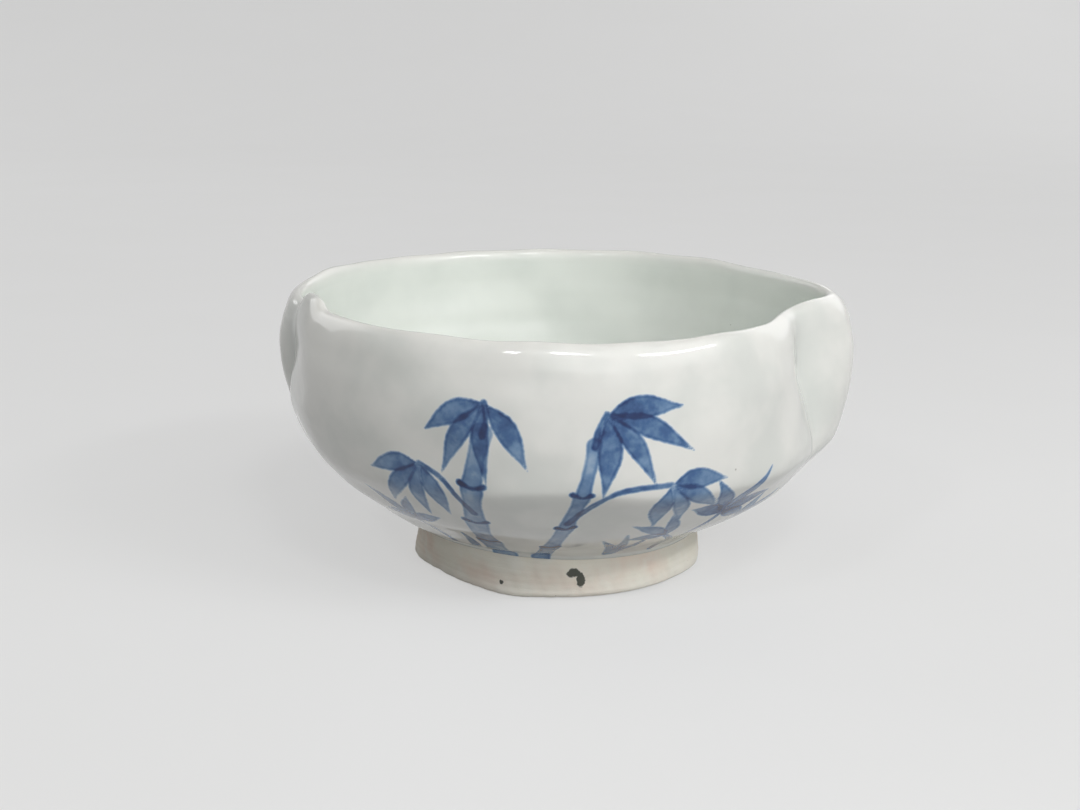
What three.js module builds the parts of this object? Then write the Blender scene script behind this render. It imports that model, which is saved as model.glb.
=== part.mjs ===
// Porcelain tea bowl: thrown round on its foot, then squeezed, paddled and pleated by hand.
// Millimetres, +Z up. The painted side faces -Y, with +X to its right.
// Every layer is first turned as a round profile about the foot's axis. One rule for the
// hand shaping then moves all layers alike, so clay and glaze stay parallel.
import * as THREE from 'three';
import { mergeVertices } from 'three/addons/utils/BufferGeometryUtils.js';

// Bowl as thrown
const RIM_HEIGHT = 59.3;
const RIM_RADIUS = 58;
const BELLY_HEIGHT = 48;
const BELLY_RADIUS = 61.5;
const LIP_THICKNESS = 3.7;
const BELLY_THICKNESS = 4.6;
const LOWER_WALL_THICKNESS = 4.8;
const FLOOR_THICKNESS = 4.4;
const FLOOR_RADIUS = 20;
const FLOOR_DISH = 0.6;

// Course of the outside from the foot to the belly, as shares of the way out and up
const WALL_COURSE = [[0.13, 0.07], [0.38, 0.18], [0.66, 0.335], [0.865, 0.53], [0.97, 0.77]];

// Foot ring, a thrown ring luted under the bowl
const FOOT_HEIGHT = 8.6;
const FOOT_RADIUS = 32;
const FOOT_TOP_RADIUS = 31;
const FOOT_THICKNESS = 6.5;
const FOOT_EDGE_ROUND = 1.1;
const FOOT_WAIST_HEIGHT = 4;
const SEAT_BEVEL = 0.5;
const UNDERSIDE_SAG = 1;

// Glaze coats
const GLAZE_THICKNESS = 0.4;
const GLAZE_LAP = 5;
const JOINT_GAP = 0.3;

// Hand shaping. A ring of values stands for every 30 degrees, counted from +X towards +Y.
const RIM_SQUEEZE = [3, -1.8, 0.4, 2.2, 2.2, 1.9, -0.7, -2, -1.8, -1.6, -2.2, -2];
const LOW_SQUEEZE = [3, 1.4, 0, 0, -0.6, -1.5, -2.2, -2.6, -1.5, 0, 0.6, 2.6];
const RIM_WAVE = [-0.15, 0.2, 0.2, 0.2, 0.2, 0.5, 0.3, 0.8, 0.5, -0.1, -0.3, -0.7];
const LOW_SQUEEZE_RISE = 8.4;
const RIM_SQUEEZE_START = 16;
const RIM_SQUEEZE_FULL = 46;
const WAVE_START = 25;

// Pleats pinched down from the rim: azimuths and widths in degrees, depths and runs in mm.
// A pleat leans sideways on its way down, and takes the wall beside it along. The rim itself
// keeps only a share of the depth, so the hollow lies just under it.
const PLEATS = [
  { azimuth: -23.5, lean: 2.2, depth: 8.6, rimShare: 0.62, run: 39, fullRun: 5.3, clockwise: 27, counter: 17 },
  { azimuth: -164, lean: -12, depth: 3.7, rimShare: 0.5, run: 25, fullRun: 8, clockwise: 7.5, counter: 21 },
];
const RIM_SHARE_RUN = 16;
const LEAN_REACH = 35;
const PLEAT_FOOT_WIDTH = 0.45;
const CREASE_SOFTNESS = 1.2;
const CREASE_SOFTNESS_PER_MM = 0.5;
const CREASE_SOFTNESS_AT_RIM = 3;
const CREASE_SOFTNESS_RUN = 18;
const PLEAT_SPREAD_PER_MM = 0.05;

// Nudges of the thumb along the rim beside the pleats: azimuths and spreads in degrees, and
// how far each lifts the rim and pulls it in, in mm. A steeper one has a flatter top.
const RIM_NUDGES = [
  { azimuth: 2, spread: 22, lift: -0.3, pull: 1.3, steepness: 2 },
  { azimuth: -13, spread: 9, lift: 1.1, pull: 0, steepness: 2 },
  { azimuth: 178, spread: 14, lift: -0.3, pull: 0.4, steepness: 2 },
  { azimuth: -168, spread: 4, lift: -0.6, pull: 0, steepness: 2 },
  { azimuth: -156.5, spread: 7, lift: 2.2, pull: 0, steepness: 4 },
];
const NUDGE_RUN = 15.3;

// Flats left by the paddle on the lower wall: half width in degrees, half height and depth in mm
const PADDLE_FLATS = [
  { azimuth: -28, height: 22, halfWidth: 24, halfHeight: 10, depth: 0.9 },
  { azimuth: -80, height: 19, halfWidth: 27, halfHeight: 8, depth: 0.9 },
  { azimuth: -130, height: 20, halfWidth: 24, halfHeight: 8, depth: 0.8 },
  { azimuth: -170, height: 20, halfWidth: 24, halfHeight: 8, depth: 0.6 },
  { azimuth: 140, height: 20, halfWidth: 24, halfHeight: 9, depth: 1 },
  { azimuth: 92, height: 21, halfWidth: 25, halfHeight: 9, depth: 0.9 },
  { azimuth: 42, height: 20, halfWidth: 24, halfHeight: 9, depth: 1 },
];
const FLAT_EDGE_SOFTNESS = 0.1;

// Knife cuts round the foot's lower edge: half width in degrees, depth in mm
const FOOT_CUTS = [
  { azimuth: -143, halfWidth: 35, depth: 2.2 },
  { azimuth: -76, halfWidth: 26, depth: 0.45 },
  { azimuth: -41, halfWidth: 22, depth: 0.7 },
  { azimuth: 10, halfWidth: 30, depth: 0.5 },
  { azimuth: 70, halfWidth: 28, depth: 0.6 },
  { azimuth: 130, halfWidth: 30, depth: 0.5 },
];

// Fineness of the faceted surfaces. Meridians crowd towards each pleat by this share.
const MERIDIANS = 72;
const MERIDIAN_CROWDING = 0.6;
const WALL_RINGS = 11;
const LIP_RINGS = 4;
const LINER_RINGS = 10;

const { degToRad, smoothstep, clamp } = THREE.MathUtils;
const point = (radius, height) => new THREE.Vector2(radius, height);

// Angle brought into the half turn on either side of zero
const turned = (angle) => THREE.MathUtils.euclideanModulo(angle + Math.PI, 2 * Math.PI) - Math.PI;

// Smooth closed curve through a ring of values, read at an azimuth
function ringValue(values, azimuth) {
  const place = THREE.MathUtils.euclideanModulo(azimuth / (2 * Math.PI), 1) * values.length;
  const step = Math.floor(place);
  const share = place - step;
  const [before, start, end, after] = [-1, 0, 1, 2].map((k) => values.at((step + k) % values.length));
  const bend = 3 * (start - end) + after - before;
  const lift = 2 * before - 5 * start + 4 * end - after;
  return start + 0.5 * share * (end - before + share * (lift + share * bend));
}

// How far a pleat draws the wall in, as a share of its depth. The crease is sharp on the
// outside and softer towards the inside and the rim, and the pleat narrows on its way down.
function pleatShare(pleat, radius, azimuth, height) {
  const end = RIM_HEIGHT - pleat.run;
  const inset = Math.max(0, BELLY_RADIUS - radius);
  const offset = turned(azimuth - degToRad(pleat.azimuth));
  const rimSoftness = CREASE_SOFTNESS_AT_RIM * smoothstep(height, RIM_HEIGHT - CREASE_SOFTNESS_RUN, RIM_HEIGHT);
  const softness = degToRad(CREASE_SOFTNESS + CREASE_SOFTNESS_PER_MM * inset + rimSoftness);
  const distance = Math.hypot(offset, softness) - softness;
  const narrowing = PLEAT_FOOT_WIDTH + (1 - PLEAT_FOOT_WIDTH) * smoothstep(height, end, RIM_HEIGHT);
  const side = offset < 0 ? pleat.clockwise : pleat.counter;
  const width = degToRad(side) * narrowing * (1 + PLEAT_SPREAD_PER_MM * inset);
  const opening = smoothstep(height, end, RIM_HEIGHT - pleat.fullRun);
  const fade = 1 - (1 - pleat.rimShare) * smoothstep(height, RIM_HEIGHT - RIM_SHARE_RUN, RIM_HEIGHT);
  return opening * fade * (1 - Math.min(1, distance / width)) ** 2;
}

// How far a pleat's lean turns the wall beside it at a height
function leanTurn(pleat, azimuth, height) {
  const away = turned(azimuth - degToRad(pleat.azimuth)) / degToRad(LEAN_REACH);
  const descent = clamp((RIM_HEIGHT - height) / pleat.run, 0, 1);
  return degToRad(pleat.lean) * descent * Math.exp(-(away ** 2));
}

// How much of a thumb's nudge reaches a place: all of it at the rim, none below the run
function nudgeShare(nudge, azimuth, height) {
  const away = Math.abs(turned(azimuth - degToRad(nudge.azimuth))) / degToRad(nudge.spread);
  const rise = clamp(1 - (RIM_HEIGHT - height) / NUDGE_RUN, 0, 1);
  return Math.exp(-(away ** nudge.steepness)) * rise ** 2;
}

// How far a paddled flat presses the wall in, as a share of its depth
function flatShare(flat, azimuth, height) {
  const across = turned(azimuth - degToRad(flat.azimuth)) / degToRad(flat.halfWidth);
  const along = (height - flat.height) / flat.halfHeight;
  const inside = 1 - across ** 2 - along ** 2;
  return 0.5 * (inside + Math.hypot(inside, FLAT_EDGE_SOFTNESS));
}

// Hand shaping of the bowl: a place on the round bowl to its place on the finished one
function shapeBowl(radius, thrownAzimuth, height) {
  const lean = PLEATS.reduce((sum, pleat) => sum + leanTurn(pleat, thrownAzimuth, height), 0);
  const azimuth = thrownAzimuth + lean;
  const rimPull = smoothstep(height, RIM_SQUEEZE_START, RIM_SQUEEZE_FULL);
  const lowPull = smoothstep(height, FOOT_HEIGHT, FOOT_HEIGHT + LOW_SQUEEZE_RISE) * (1 - rimPull);
  let reach = rimPull * ringValue(RIM_SQUEEZE, azimuth) + lowPull * ringValue(LOW_SQUEEZE, azimuth);
  for (const pleat of PLEATS) reach -= pleat.depth * pleatShare(pleat, radius, thrownAzimuth, height);
  for (const flat of PADDLE_FLATS) reach -= flat.depth * flatShare(flat, azimuth, height);
  let lift = ringValue(RIM_WAVE, azimuth) * smoothstep(height, WAVE_START, RIM_HEIGHT);
  for (const nudge of RIM_NUDGES) {
    const share = nudgeShare(nudge, azimuth, height);
    reach -= nudge.pull * share;
    lift += nudge.lift * share;
  }
  return { radius: radius * (1 + reach / BELLY_RADIUS), azimuth, height: height + lift };
}

// Knife cuts of the foot ring: only its outer side moves, most at the lower edge
function shapeFoot(radius, azimuth, height) {
  const outward = clamp((radius - (FOOT_RADIUS - FOOT_THICKNESS)) / FOOT_THICKNESS, 0, 1);
  let cut = 0;
  for (const { azimuth: middle, halfWidth, depth } of FOOT_CUTS) {
    const across = turned(azimuth - degToRad(middle)) / degToRad(halfWidth);
    cut += depth * Math.max(0, 1 - across ** 2) ** 2;
  }
  return { radius: radius - cut * outward * (1 - height / FOOT_HEIGHT), azimuth, height };
}

// Azimuths of the meridians: one runs down each pleat's crease, and they crowd towards it
function meridianAzimuths() {
  const creases = PLEATS.map((pleat) => turned(degToRad(pleat.azimuth))).sort((a, b) => a - b);
  return creases.flatMap((start, k) => {
    const end = creases[k + 1] ?? creases[0] + 2 * Math.PI;
    const count = Math.round((MERIDIANS * (end - start)) / (2 * Math.PI));
    return Array.from({ length: count }, (_, step) => {
      const share = step / count;
      const crowd = (MERIDIAN_CROWDING * Math.sin(2 * Math.PI * share)) / (2 * Math.PI);
      return start + (end - start) * (share - crowd);
    });
  });
}
const AZIMUTHS = meridianAzimuths();

// Each four-cornered patch of the lathe is split along its shorter diagonal, so that the
// facets of two parallel layers lie alike
function splitAlongShorterDiagonals(geometry) {
  const positions = geometry.getAttribute('position');
  const place = (k) => new THREE.Vector3().fromBufferAttribute(positions, k);
  const corners = geometry.index.array;
  const split = [];
  for (let k = 0; k < corners.length; k += 6) {
    const [a, b, d, c] = corners.slice(k, k + 4);
    const acrossFirst = place(a).distanceTo(place(c)) < place(b).distanceTo(place(d));
    split.push(...(acrossFirst ? [a, b, c, a, c, d] : [a, b, d, c, d, b]));
  }
  geometry.setIndex(split);
}

// Triangles with two corners in one place, at the poles, are left out
function withoutEmptyTriangles(geometry) {
  const kept = [];
  const corners = geometry.index.array;
  for (let k = 0; k < corners.length; k += 3) {
    const [a, b, c] = corners.slice(k, k + 3);
    if (a !== b && b !== c && c !== a) kept.push(a, b, c);
  }
  geometry.setIndex(kept);
  return geometry;
}

// One sub-part: a profile turned about the foot's axis and then shaped by hand
function shapedPiece(name, profile, shape, finish) {
  const lathe = new THREE.LatheGeometry(profile, AZIMUTHS.length);
  const positions = lathe.getAttribute('position');
  for (let k = 0; k < positions.count; k += 1) {
    const thrownAzimuth = AZIMUTHS[Math.floor(k / profile.length) % AZIMUTHS.length];
    const place = profile[k % profile.length];
    const { radius, azimuth, height } = shape(place.x, thrownAzimuth, place.y);
    positions.setXYZ(k, radius * Math.cos(azimuth), radius * Math.sin(azimuth), height);
  }
  splitAlongShorterDiagonals(lathe);
  lathe.deleteAttribute('normal');
  lathe.deleteAttribute('uv');
  const geometry = withoutEmptyTriangles(mergeVertices(lathe));
  geometry.computeVertexNormals();
  const mesh = new THREE.Mesh(geometry, new THREE.MeshStandardMaterial(finish));
  mesh.name = name;
  return mesh;
}

// Glazed surface of the round bowl, from the foot up the outside, over the lip and down
// the inside to the middle of the floor, with the number of points under the outer coat
function glazedSurface() {
  const footEdge = point(FOOT_TOP_RADIUS + GLAZE_THICKNESS, FOOT_HEIGHT);
  const belly = point(BELLY_RADIUS, BELLY_HEIGHT);
  const lipMiddle = point(RIM_RADIUS, RIM_HEIGHT - LIP_THICKNESS / 2);
  const lipOuter = point(lipMiddle.x + LIP_THICKNESS / 2, lipMiddle.y);
  const course = WALL_COURSE.map(([out, up]) => point(
    footEdge.x + out * (belly.x - footEdge.x),
    footEdge.y + up * (belly.y - footEdge.y),
  ));
  const outside = [footEdge, ...course, belly, lipOuter];
  const wall = new THREE.SplineCurve(outside).getSpacedPoints(WALL_RINGS);

  const lip = [];
  for (let k = 1; k <= LIP_RINGS; k += 1) {
    const angle = (k / LIP_RINGS) * Math.PI;
    const round = point(Math.cos(angle), Math.sin(angle));
    lip.push(round.multiplyScalar(LIP_THICKNESS / 2).add(lipMiddle));
  }

  const lapEdge = point(RIM_RADIUS - LIP_THICKNESS / 2, RIM_HEIGHT - GLAZE_LAP);
  const linerTop = point(lapEdge.x, lapEdge.y - JOINT_GAP);
  const floorTop = FOOT_HEIGHT + FLOOR_THICKNESS;
  const wallInside = [];
  for (let k = course.length + 1; k >= 2; k -= 1) {
    const share = (course.length + 1 - k) / (course.length - 1);
    const thickness = THREE.MathUtils.lerp(BELLY_THICKNESS, LOWER_WALL_THICKNESS, share);
    const along = outside[k + 1].clone().sub(outside[k - 1]).normalize();
    wallInside.push(point(outside[k].x - thickness * along.y, outside[k].y + thickness * along.x));
  }
  const floor = [point(FLOOR_RADIUS, floorTop + FLOOR_DISH), point(0, floorTop)];
  const liner = new THREE.SplineCurve([linerTop, ...wallInside, ...floor]).getSpacedPoints(LINER_RINGS);
  return { points: [...wall, ...lip, lapEdge, ...liner], outerCount: wall.length + lip.length + 1 };
}
const GLAZED = glazedSurface();

// The glazed surface sunk straight into the wall by a depth; it is level at the middle of the floor
function sunkSurface(depth) {
  const { points } = GLAZED;
  return points.map((place, k) => {
    const before = points[Math.max(0, k - 1)];
    const after = points[k + 1] ?? point(-before.x, before.y);
    const along = after.clone().sub(before).normalize();
    return point(place.x - depth * along.y, place.y + depth * along.x);
  });
}

function bowlBody() {
  const clay = sunkSurface(GLAZE_THICKNESS + JOINT_GAP);
  const underside = [
    point(0, FOOT_HEIGHT - UNDERSIDE_SAG),
    point(FOOT_TOP_RADIUS - FOOT_THICKNESS, FOOT_HEIGHT),
    point(FOOT_TOP_RADIUS - SEAT_BEVEL, FOOT_HEIGHT),
  ];
  const finish = { color: 0xe9e4d8, roughness: 0.75, metalness: 0 };
  return shapedPiece('bowl_body', [...underside, ...clay], shapeBowl, finish);
}

function outerGlaze() {
  const outer = sunkSurface(0).slice(0, GLAZED.outerCount);
  const inner = sunkSurface(GLAZE_THICKNESS).slice(0, GLAZED.outerCount);
  const profile = [...outer, ...inner.reverse(), outer[0]];
  const finish = { color: 0xe1e3de, roughness: 0.12, metalness: 0 };
  return shapedPiece('outer_glaze', profile, shapeBowl, finish);
}

function innerGlaze() {
  const lower = sunkSurface(GLAZE_THICKNESS).slice(GLAZED.outerCount);
  const upper = sunkSurface(0).slice(GLAZED.outerCount);
  const finish = { color: 0xdce4de, roughness: 0.12, metalness: 0 };
  return shapedPiece('inner_glaze', [...lower.reverse(), ...upper], shapeBowl, finish);
}

function footRing() {
  const top = FOOT_HEIGHT - JOINT_GAP;
  const innerRadius = FOOT_RADIUS - FOOT_THICKNESS;
  const profile = [
    point(innerRadius + FOOT_EDGE_ROUND, 0),
    point(FOOT_RADIUS - FOOT_EDGE_ROUND, 0),
    point(FOOT_RADIUS - FOOT_EDGE_ROUND / 4, FOOT_EDGE_ROUND / 3),
    point(FOOT_RADIUS, FOOT_EDGE_ROUND),
    point((FOOT_RADIUS + FOOT_TOP_RADIUS) / 2, FOOT_WAIST_HEIGHT),
    point(FOOT_TOP_RADIUS, top),
    point(FOOT_TOP_RADIUS - FOOT_THICKNESS, top),
    point(innerRadius, FOOT_EDGE_ROUND),
    point(innerRadius + FOOT_EDGE_ROUND, 0),
  ];
  const finish = { color: 0xe2d6c6, roughness: 0.85, metalness: 0 };
  return shapedPiece('foot_ring', profile, shapeFoot, finish);
}

// The origin is under the middle of the bowl's outline, on the surface that it stands on
const bowl = new THREE.Group();
bowl.add(bowlBody(), footRing(), outerGlaze(), innerGlaze());
const middle = new THREE.Box3().setFromObject(bowl).getCenter(new THREE.Vector3());
bowl.position.set(-middle.x, -middle.y, 0);

export default bowl;
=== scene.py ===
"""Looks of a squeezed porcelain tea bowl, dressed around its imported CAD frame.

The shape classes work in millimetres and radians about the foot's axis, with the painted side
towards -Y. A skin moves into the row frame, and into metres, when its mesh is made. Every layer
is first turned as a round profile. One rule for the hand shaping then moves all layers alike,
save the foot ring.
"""

import logging
import math
from dataclasses import dataclass, field
from enum import Enum

import bpy
import numpy as np
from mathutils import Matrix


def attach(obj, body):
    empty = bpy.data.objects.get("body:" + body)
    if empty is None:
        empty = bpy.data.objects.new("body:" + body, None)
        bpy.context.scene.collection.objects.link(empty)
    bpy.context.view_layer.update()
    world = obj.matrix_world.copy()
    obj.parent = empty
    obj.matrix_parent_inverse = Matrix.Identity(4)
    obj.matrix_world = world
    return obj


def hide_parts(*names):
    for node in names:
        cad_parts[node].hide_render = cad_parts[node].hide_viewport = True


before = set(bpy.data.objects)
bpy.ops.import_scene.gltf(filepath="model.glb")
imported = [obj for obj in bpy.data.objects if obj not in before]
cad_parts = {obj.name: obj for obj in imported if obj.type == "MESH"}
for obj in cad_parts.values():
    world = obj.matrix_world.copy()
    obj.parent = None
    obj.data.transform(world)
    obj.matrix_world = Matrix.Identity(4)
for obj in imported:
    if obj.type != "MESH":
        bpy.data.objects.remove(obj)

Array = np.ndarray
Socket = bpy.types.NodeSocket
Colour = tuple[float, float, float]
Dots = tuple[float, float, float]
Point = tuple[float, float, float]

MM = 0.001
GLAZE_IOR = 1.5
# In millimetres: the place of the foot's axis, the thrown bowl's main sizes (a radius and a
# height where the wall starts), the wander of the glaze's lower edge round the bowl, and the
# radius at which the painting is laid out.
FOOT_AXIS = (-1.736, -1.923)
RIM_HEIGHT = 59.3
BELLY_RADIUS = 61.5
WALL_FOOT = (31.4, 8.6)
GLAZE_LINE = (0.2, -0.1, 0.1, 0.3, 0.0, -0.2, 0.1, 0.35, 0.7, 1.2, 0.8, 0.35, 0.0, 0.1)
PAINTED_RADIUS = 60.0
LOG = logging.getLogger("tea_bowl")


# ---------------------------------------------------------------- curves and rings of values


def smoothstep(value: Array, start: float, end: float) -> Array:
    """Rise from 0 at start to 1 at end, level at both."""
    share = np.clip((value - start) / (end - start), 0.0, 1.0)
    return share * share * (3.0 - 2.0 * share)


def bell(value: Array, middle: float, spread: float) -> Array:
    """Bell curve of height 1 about a middle."""
    return np.exp(-(((value - middle) / spread) ** 2))


def turned(angle: Array) -> Array:
    """Angle brought into the half turn on either side of zero."""
    return (angle + math.pi) % (2.0 * math.pi) - math.pi


def degrees_from(middle: float, azimuth: Array) -> Array:
    """Turn in degrees from a middle in degrees to azimuths in radians."""
    return np.degrees(turned(azimuth - math.radians(middle)))


def dome(across: Array, along: Array, softness: float) -> Array:
    """Shallow dome: 1 less the squares of the shares of its half sizes, with a softened edge."""
    inside = 1 - across**2 - along**2
    return 0.5 * (inside + np.hypot(inside, softness))


def spline(keys: list[Array], share: Array) -> Array:
    """Catmull-Rom value at a share of the way between the middle two of four keys.

    Args:
        keys: The four keys at each place.
        share: Share of the way from the second to the third.

    Returns:
        The spline's value at each place.
    """
    before, start, end, after = keys
    bend = 3.0 * (start - end) + after - before
    lift = 2.0 * before - 5.0 * start + 4.0 * end - after
    return start + 0.5 * share * (end - before + share * (lift + share * bend))


def ring_value(values: tuple[float, ...], azimuth: Array) -> Array:
    """Closed spline through values at equal angles, read at an azimuth.

    Args:
        values: One value for each equal part of the turn, the first at azimuth 0.
        azimuth: Angles in radians.

    Returns:
        The spline's value at each angle.
    """
    ring = np.asarray(values)
    place = (azimuth / (2.0 * math.pi)) % 1.0 * len(ring)
    step = np.floor(place).astype(int)
    return spline([ring[(step + k) % len(ring)] for k in (-1, 0, 1, 2)], place - step)


def lengths_along(course: Array) -> Array:
    """Length of a course of points from its start to each of them."""
    steps = np.linalg.norm(np.diff(course, axis=0), axis=1)
    return np.concatenate([[0.0], np.cumsum(steps)])


def even_course(course: Array, count: int) -> Array:
    """The same course with its points at equal distances.

    Args:
        course: Points of the course, a row each.
        count: Number of points asked for.

    Returns:
        The new points.
    """
    run = lengths_along(course)
    marks = np.linspace(0.0, run[-1], count)
    return np.stack([np.interp(marks, run, column) for column in course.T], axis=1)


def curved(keys: list[tuple[float, ...]] | Array, count: int) -> Array:
    """Spline through key points, with its ends repeated, at equal distances.

    Args:
        keys: Points that the spline passes.
        count: Number of points on the finished course.

    Returns:
        One row for each point of the course.
    """
    points = np.asarray(keys, dtype=float)
    padded = np.concatenate([points[:1], points, points[-1:]])
    place = np.linspace(0.0, len(points) - 1 - 1e-9, 60 * len(points))
    step = place.astype(int)
    return even_course(spline([padded[step + k] for k in range(4)], (place - step)[:, None]), count)


def inward(course: Array) -> Array:
    """Unit normals into the wall: the course's direction turned a quarter to the left.

    Args:
        course: Points of the course, a row each.

    Returns:
        One normal for each point.
    """
    along = np.gradient(course, axis=0)
    along /= np.linalg.norm(along, axis=1, keepdims=True)
    return np.stack([-along[:, 1], along[:, 0]], axis=1)


@dataclass(frozen=True)
class Ripples:
    """Soft unevenness of a hand-made surface, as a sum of seeded plane waves in space."""

    seed: int
    shortest: float
    longest: float
    depth: float
    waves: int = 14

    def at(self, place: Array) -> Array:
        """Sum of sines over random directions, wave lengths and phases.

        Args:
            place: Points in millimetres, in the last axis.

        Returns:
            Height of the unevenness at each point.
        """
        draw = np.random.default_rng(self.seed)
        direction = draw.normal(size=(self.waves, 3))
        direction /= np.linalg.norm(direction, axis=1, keepdims=True)
        length = draw.uniform(self.shortest, self.longest, self.waves)
        phase = draw.uniform(0.0, 2.0 * math.pi, self.waves)
        swing = place @ (direction * (2.0 * math.pi / length)[:, None]).T + phase
        return self.depth * math.sqrt(2.0 / self.waves) * np.sin(swing).sum(axis=-1)


@dataclass(frozen=True)
class PressMarks:
    """Shallow flats pressed all over a wall, which meet in soft ridges."""

    seed: int
    count: int
    heights: tuple[float, float]
    half_widths: tuple[float, float]
    half_heights: tuple[float, float]
    depths: tuple[float, float]
    softness: float = 0.2

    def at(self, azimuth: Array, height: Array) -> Array:
        """Sum of seeded domes, each 1 less the squares of the shares of its half sizes.

        Args:
            azimuth: Azimuths in radians.
            height: Heights in millimetres.

        Returns:
            Depth of the marks at each place.
        """
        draw = np.random.default_rng(self.seed)
        depth = np.zeros(np.broadcast(azimuth, height).shape)
        for _ in range(self.count):
            middle, level = draw.uniform(-math.pi, math.pi), draw.uniform(*self.heights)
            half_width = draw.uniform(*self.half_widths)
            half_height = draw.uniform(*self.half_heights)
            across = turned(azimuth - middle) / math.radians(half_width)
            along = (height - level) / half_height
            depth = depth + draw.uniform(*self.depths) * dome(across, along, self.softness)
        return depth


# ---------------------------------------------------------------- the bowl's form


@dataclass(frozen=True)
class Pleat:
    """A fold pinched down from the rim. Azimuth, lean and widths are in degrees."""

    azimuth: float
    lean: float
    depth: float
    rim_share: float
    run: float
    full_run: float
    clockwise: float
    counter: float


@dataclass(frozen=True)
class PaddleFlat:
    """A flat pressed into the lower wall. Azimuth and half width are in degrees."""

    azimuth: float
    height: float
    half_width: float
    half_height: float
    depth: float


@dataclass(frozen=True)
class RimNudge:
    """A thumb's nudge of the rim beside a pleat. Azimuth and spread are in degrees."""

    azimuth: float
    spread: float
    lift: float
    pull: float
    steepness: float = 2.0


@dataclass(frozen=True)
class HandShaping:
    """Squeeze, pleats, flats and rim wave that turn the round bowl into the finished one."""

    rim_squeeze: tuple[float, ...] = (3, -1.8, 0.4, 2.2, 2.2, 1.9, -0.7, -2, -1.8, -1.6, -2.2, -2)
    low_squeeze: tuple[float, ...] = (3, 1.4, 0, 0, -0.6, -1.5, -2.2, -2.6, -1.5, 0, 0.6, 2.6)
    rim_wave: tuple[float, ...] = (-0.15, 0.2, 0.2, 0.2, 0.2, 0.5, 0.3, 0.8, 0.5, -0.1, -0.3, -0.7)
    low_rise: float = 8.4
    rim_start: float = 16.0
    rim_full: float = 46.0
    wave_start: float = 25.0
    lean_reach: float = 35.0
    foot_width: float = 0.45
    crease_softness: float = 1.2
    softness_per_mm: float = 0.5
    softness_at_rim: float = 3.0
    softness_run: float = 18.0
    rim_share_run: float = 16.0
    nudge_run: float = 15.3
    spread_per_mm: float = 0.05
    flat_softness: float = 0.1
    pleats: tuple[Pleat, ...] = (
        Pleat(-23.5, 2.2, 8.6, 0.62, 39, 5.3, 27, 17),
        Pleat(-164, -12, 3.7, 0.5, 25, 8, 7.5, 21),
    )
    nudges: tuple[RimNudge, ...] = (
        RimNudge(2, 22, -0.3, 1.3),
        RimNudge(-13, 9, 1.1, 0),
        RimNudge(178, 14, -0.3, 0.4),
        RimNudge(-168, 4, -0.6, 0),
        RimNudge(-156.5, 7, 2.2, 0, 4),
    )
    flats: tuple[PaddleFlat, ...] = (
        PaddleFlat(-28, 22, 24, 10, 0.9),
        PaddleFlat(-80, 19, 27, 8, 0.9),
        PaddleFlat(-130, 20, 24, 8, 0.8),
        PaddleFlat(-170, 20, 24, 8, 0.6),
        PaddleFlat(140, 20, 24, 9, 1),
        PaddleFlat(92, 21, 25, 9, 0.9),
        PaddleFlat(42, 20, 24, 9, 1),
    )

    def pleat_share(self, pleat: Pleat, radius: Array, azimuth: Array, height: Array) -> Array:
        """Share of a pleat's depth: a notch whose sides fall as a square from the crease.

        Args:
            pleat: The fold.
            radius: Radii on the round bowl.
            azimuth: Azimuths on the round bowl.
            height: Heights on the round bowl.

        Returns:
            Values from 0 outside the pleat to 1 in its crease.
        """
        end = RIM_HEIGHT - pleat.run
        inset = np.maximum(0.0, BELLY_RADIUS - radius)
        offset = degrees_from(pleat.azimuth, azimuth)
        at_rim = smoothstep(height, RIM_HEIGHT - self.softness_run, RIM_HEIGHT)
        softness = self.crease_softness + self.softness_per_mm * inset
        softness = softness + self.softness_at_rim * at_rim
        distance = np.hypot(offset, softness) - softness
        narrowing = self.foot_width + (1 - self.foot_width) * smoothstep(height, end, RIM_HEIGHT)
        side = np.where(offset < 0, pleat.clockwise, pleat.counter)
        width = side * narrowing * (1 + self.spread_per_mm * inset)
        opening = smoothstep(height, end, RIM_HEIGHT - pleat.full_run)
        near_rim = smoothstep(height, RIM_HEIGHT - self.rim_share_run, RIM_HEIGHT)
        kept = 1 - (1 - pleat.rim_share) * near_rim
        return opening * kept * (1 - np.minimum(1.0, distance / width)) ** 2

    def lean_turn(self, pleat: Pleat, azimuth: Array, height: Array) -> Array:
        """Angle by which a pleat's lean turns the wall beside it.

        Args:
            pleat: The fold.
            azimuth: Azimuths on the round bowl.
            height: Heights on the round bowl.

        Returns:
            Turn in radians at each place.
        """
        descent = np.clip((RIM_HEIGHT - height) / pleat.run, 0.0, 1.0)
        away = degrees_from(pleat.azimuth, azimuth)
        return math.radians(pleat.lean) * descent * bell(away, 0.0, self.lean_reach)

    def flat_share(self, flat: PaddleFlat, azimuth: Array, height: Array) -> Array:
        """Share of a flat's depth, in its place on the wall."""
        across = degrees_from(flat.azimuth, azimuth) / flat.half_width
        return dome(across, (height - flat.height) / flat.half_height, self.flat_softness)

    def nudge_share(self, nudge: RimNudge, azimuth: Array, height: Array) -> Array:
        """Share of a nudge: a bell along the rim, flatter on top when steep, which fades downwards.

        Args:
            nudge: The nudge.
            azimuth: Azimuths on the round bowl.
            height: Heights on the round bowl.

        Returns:
            Values from 0 to 1.
        """
        away = degrees_from(nudge.azimuth, azimuth)
        rise = np.clip(1 - (RIM_HEIGHT - height) / self.nudge_run, 0.0, 1.0)
        return np.exp(-(np.abs(away / nudge.spread) ** nudge.steepness)) * rise**2

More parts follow.
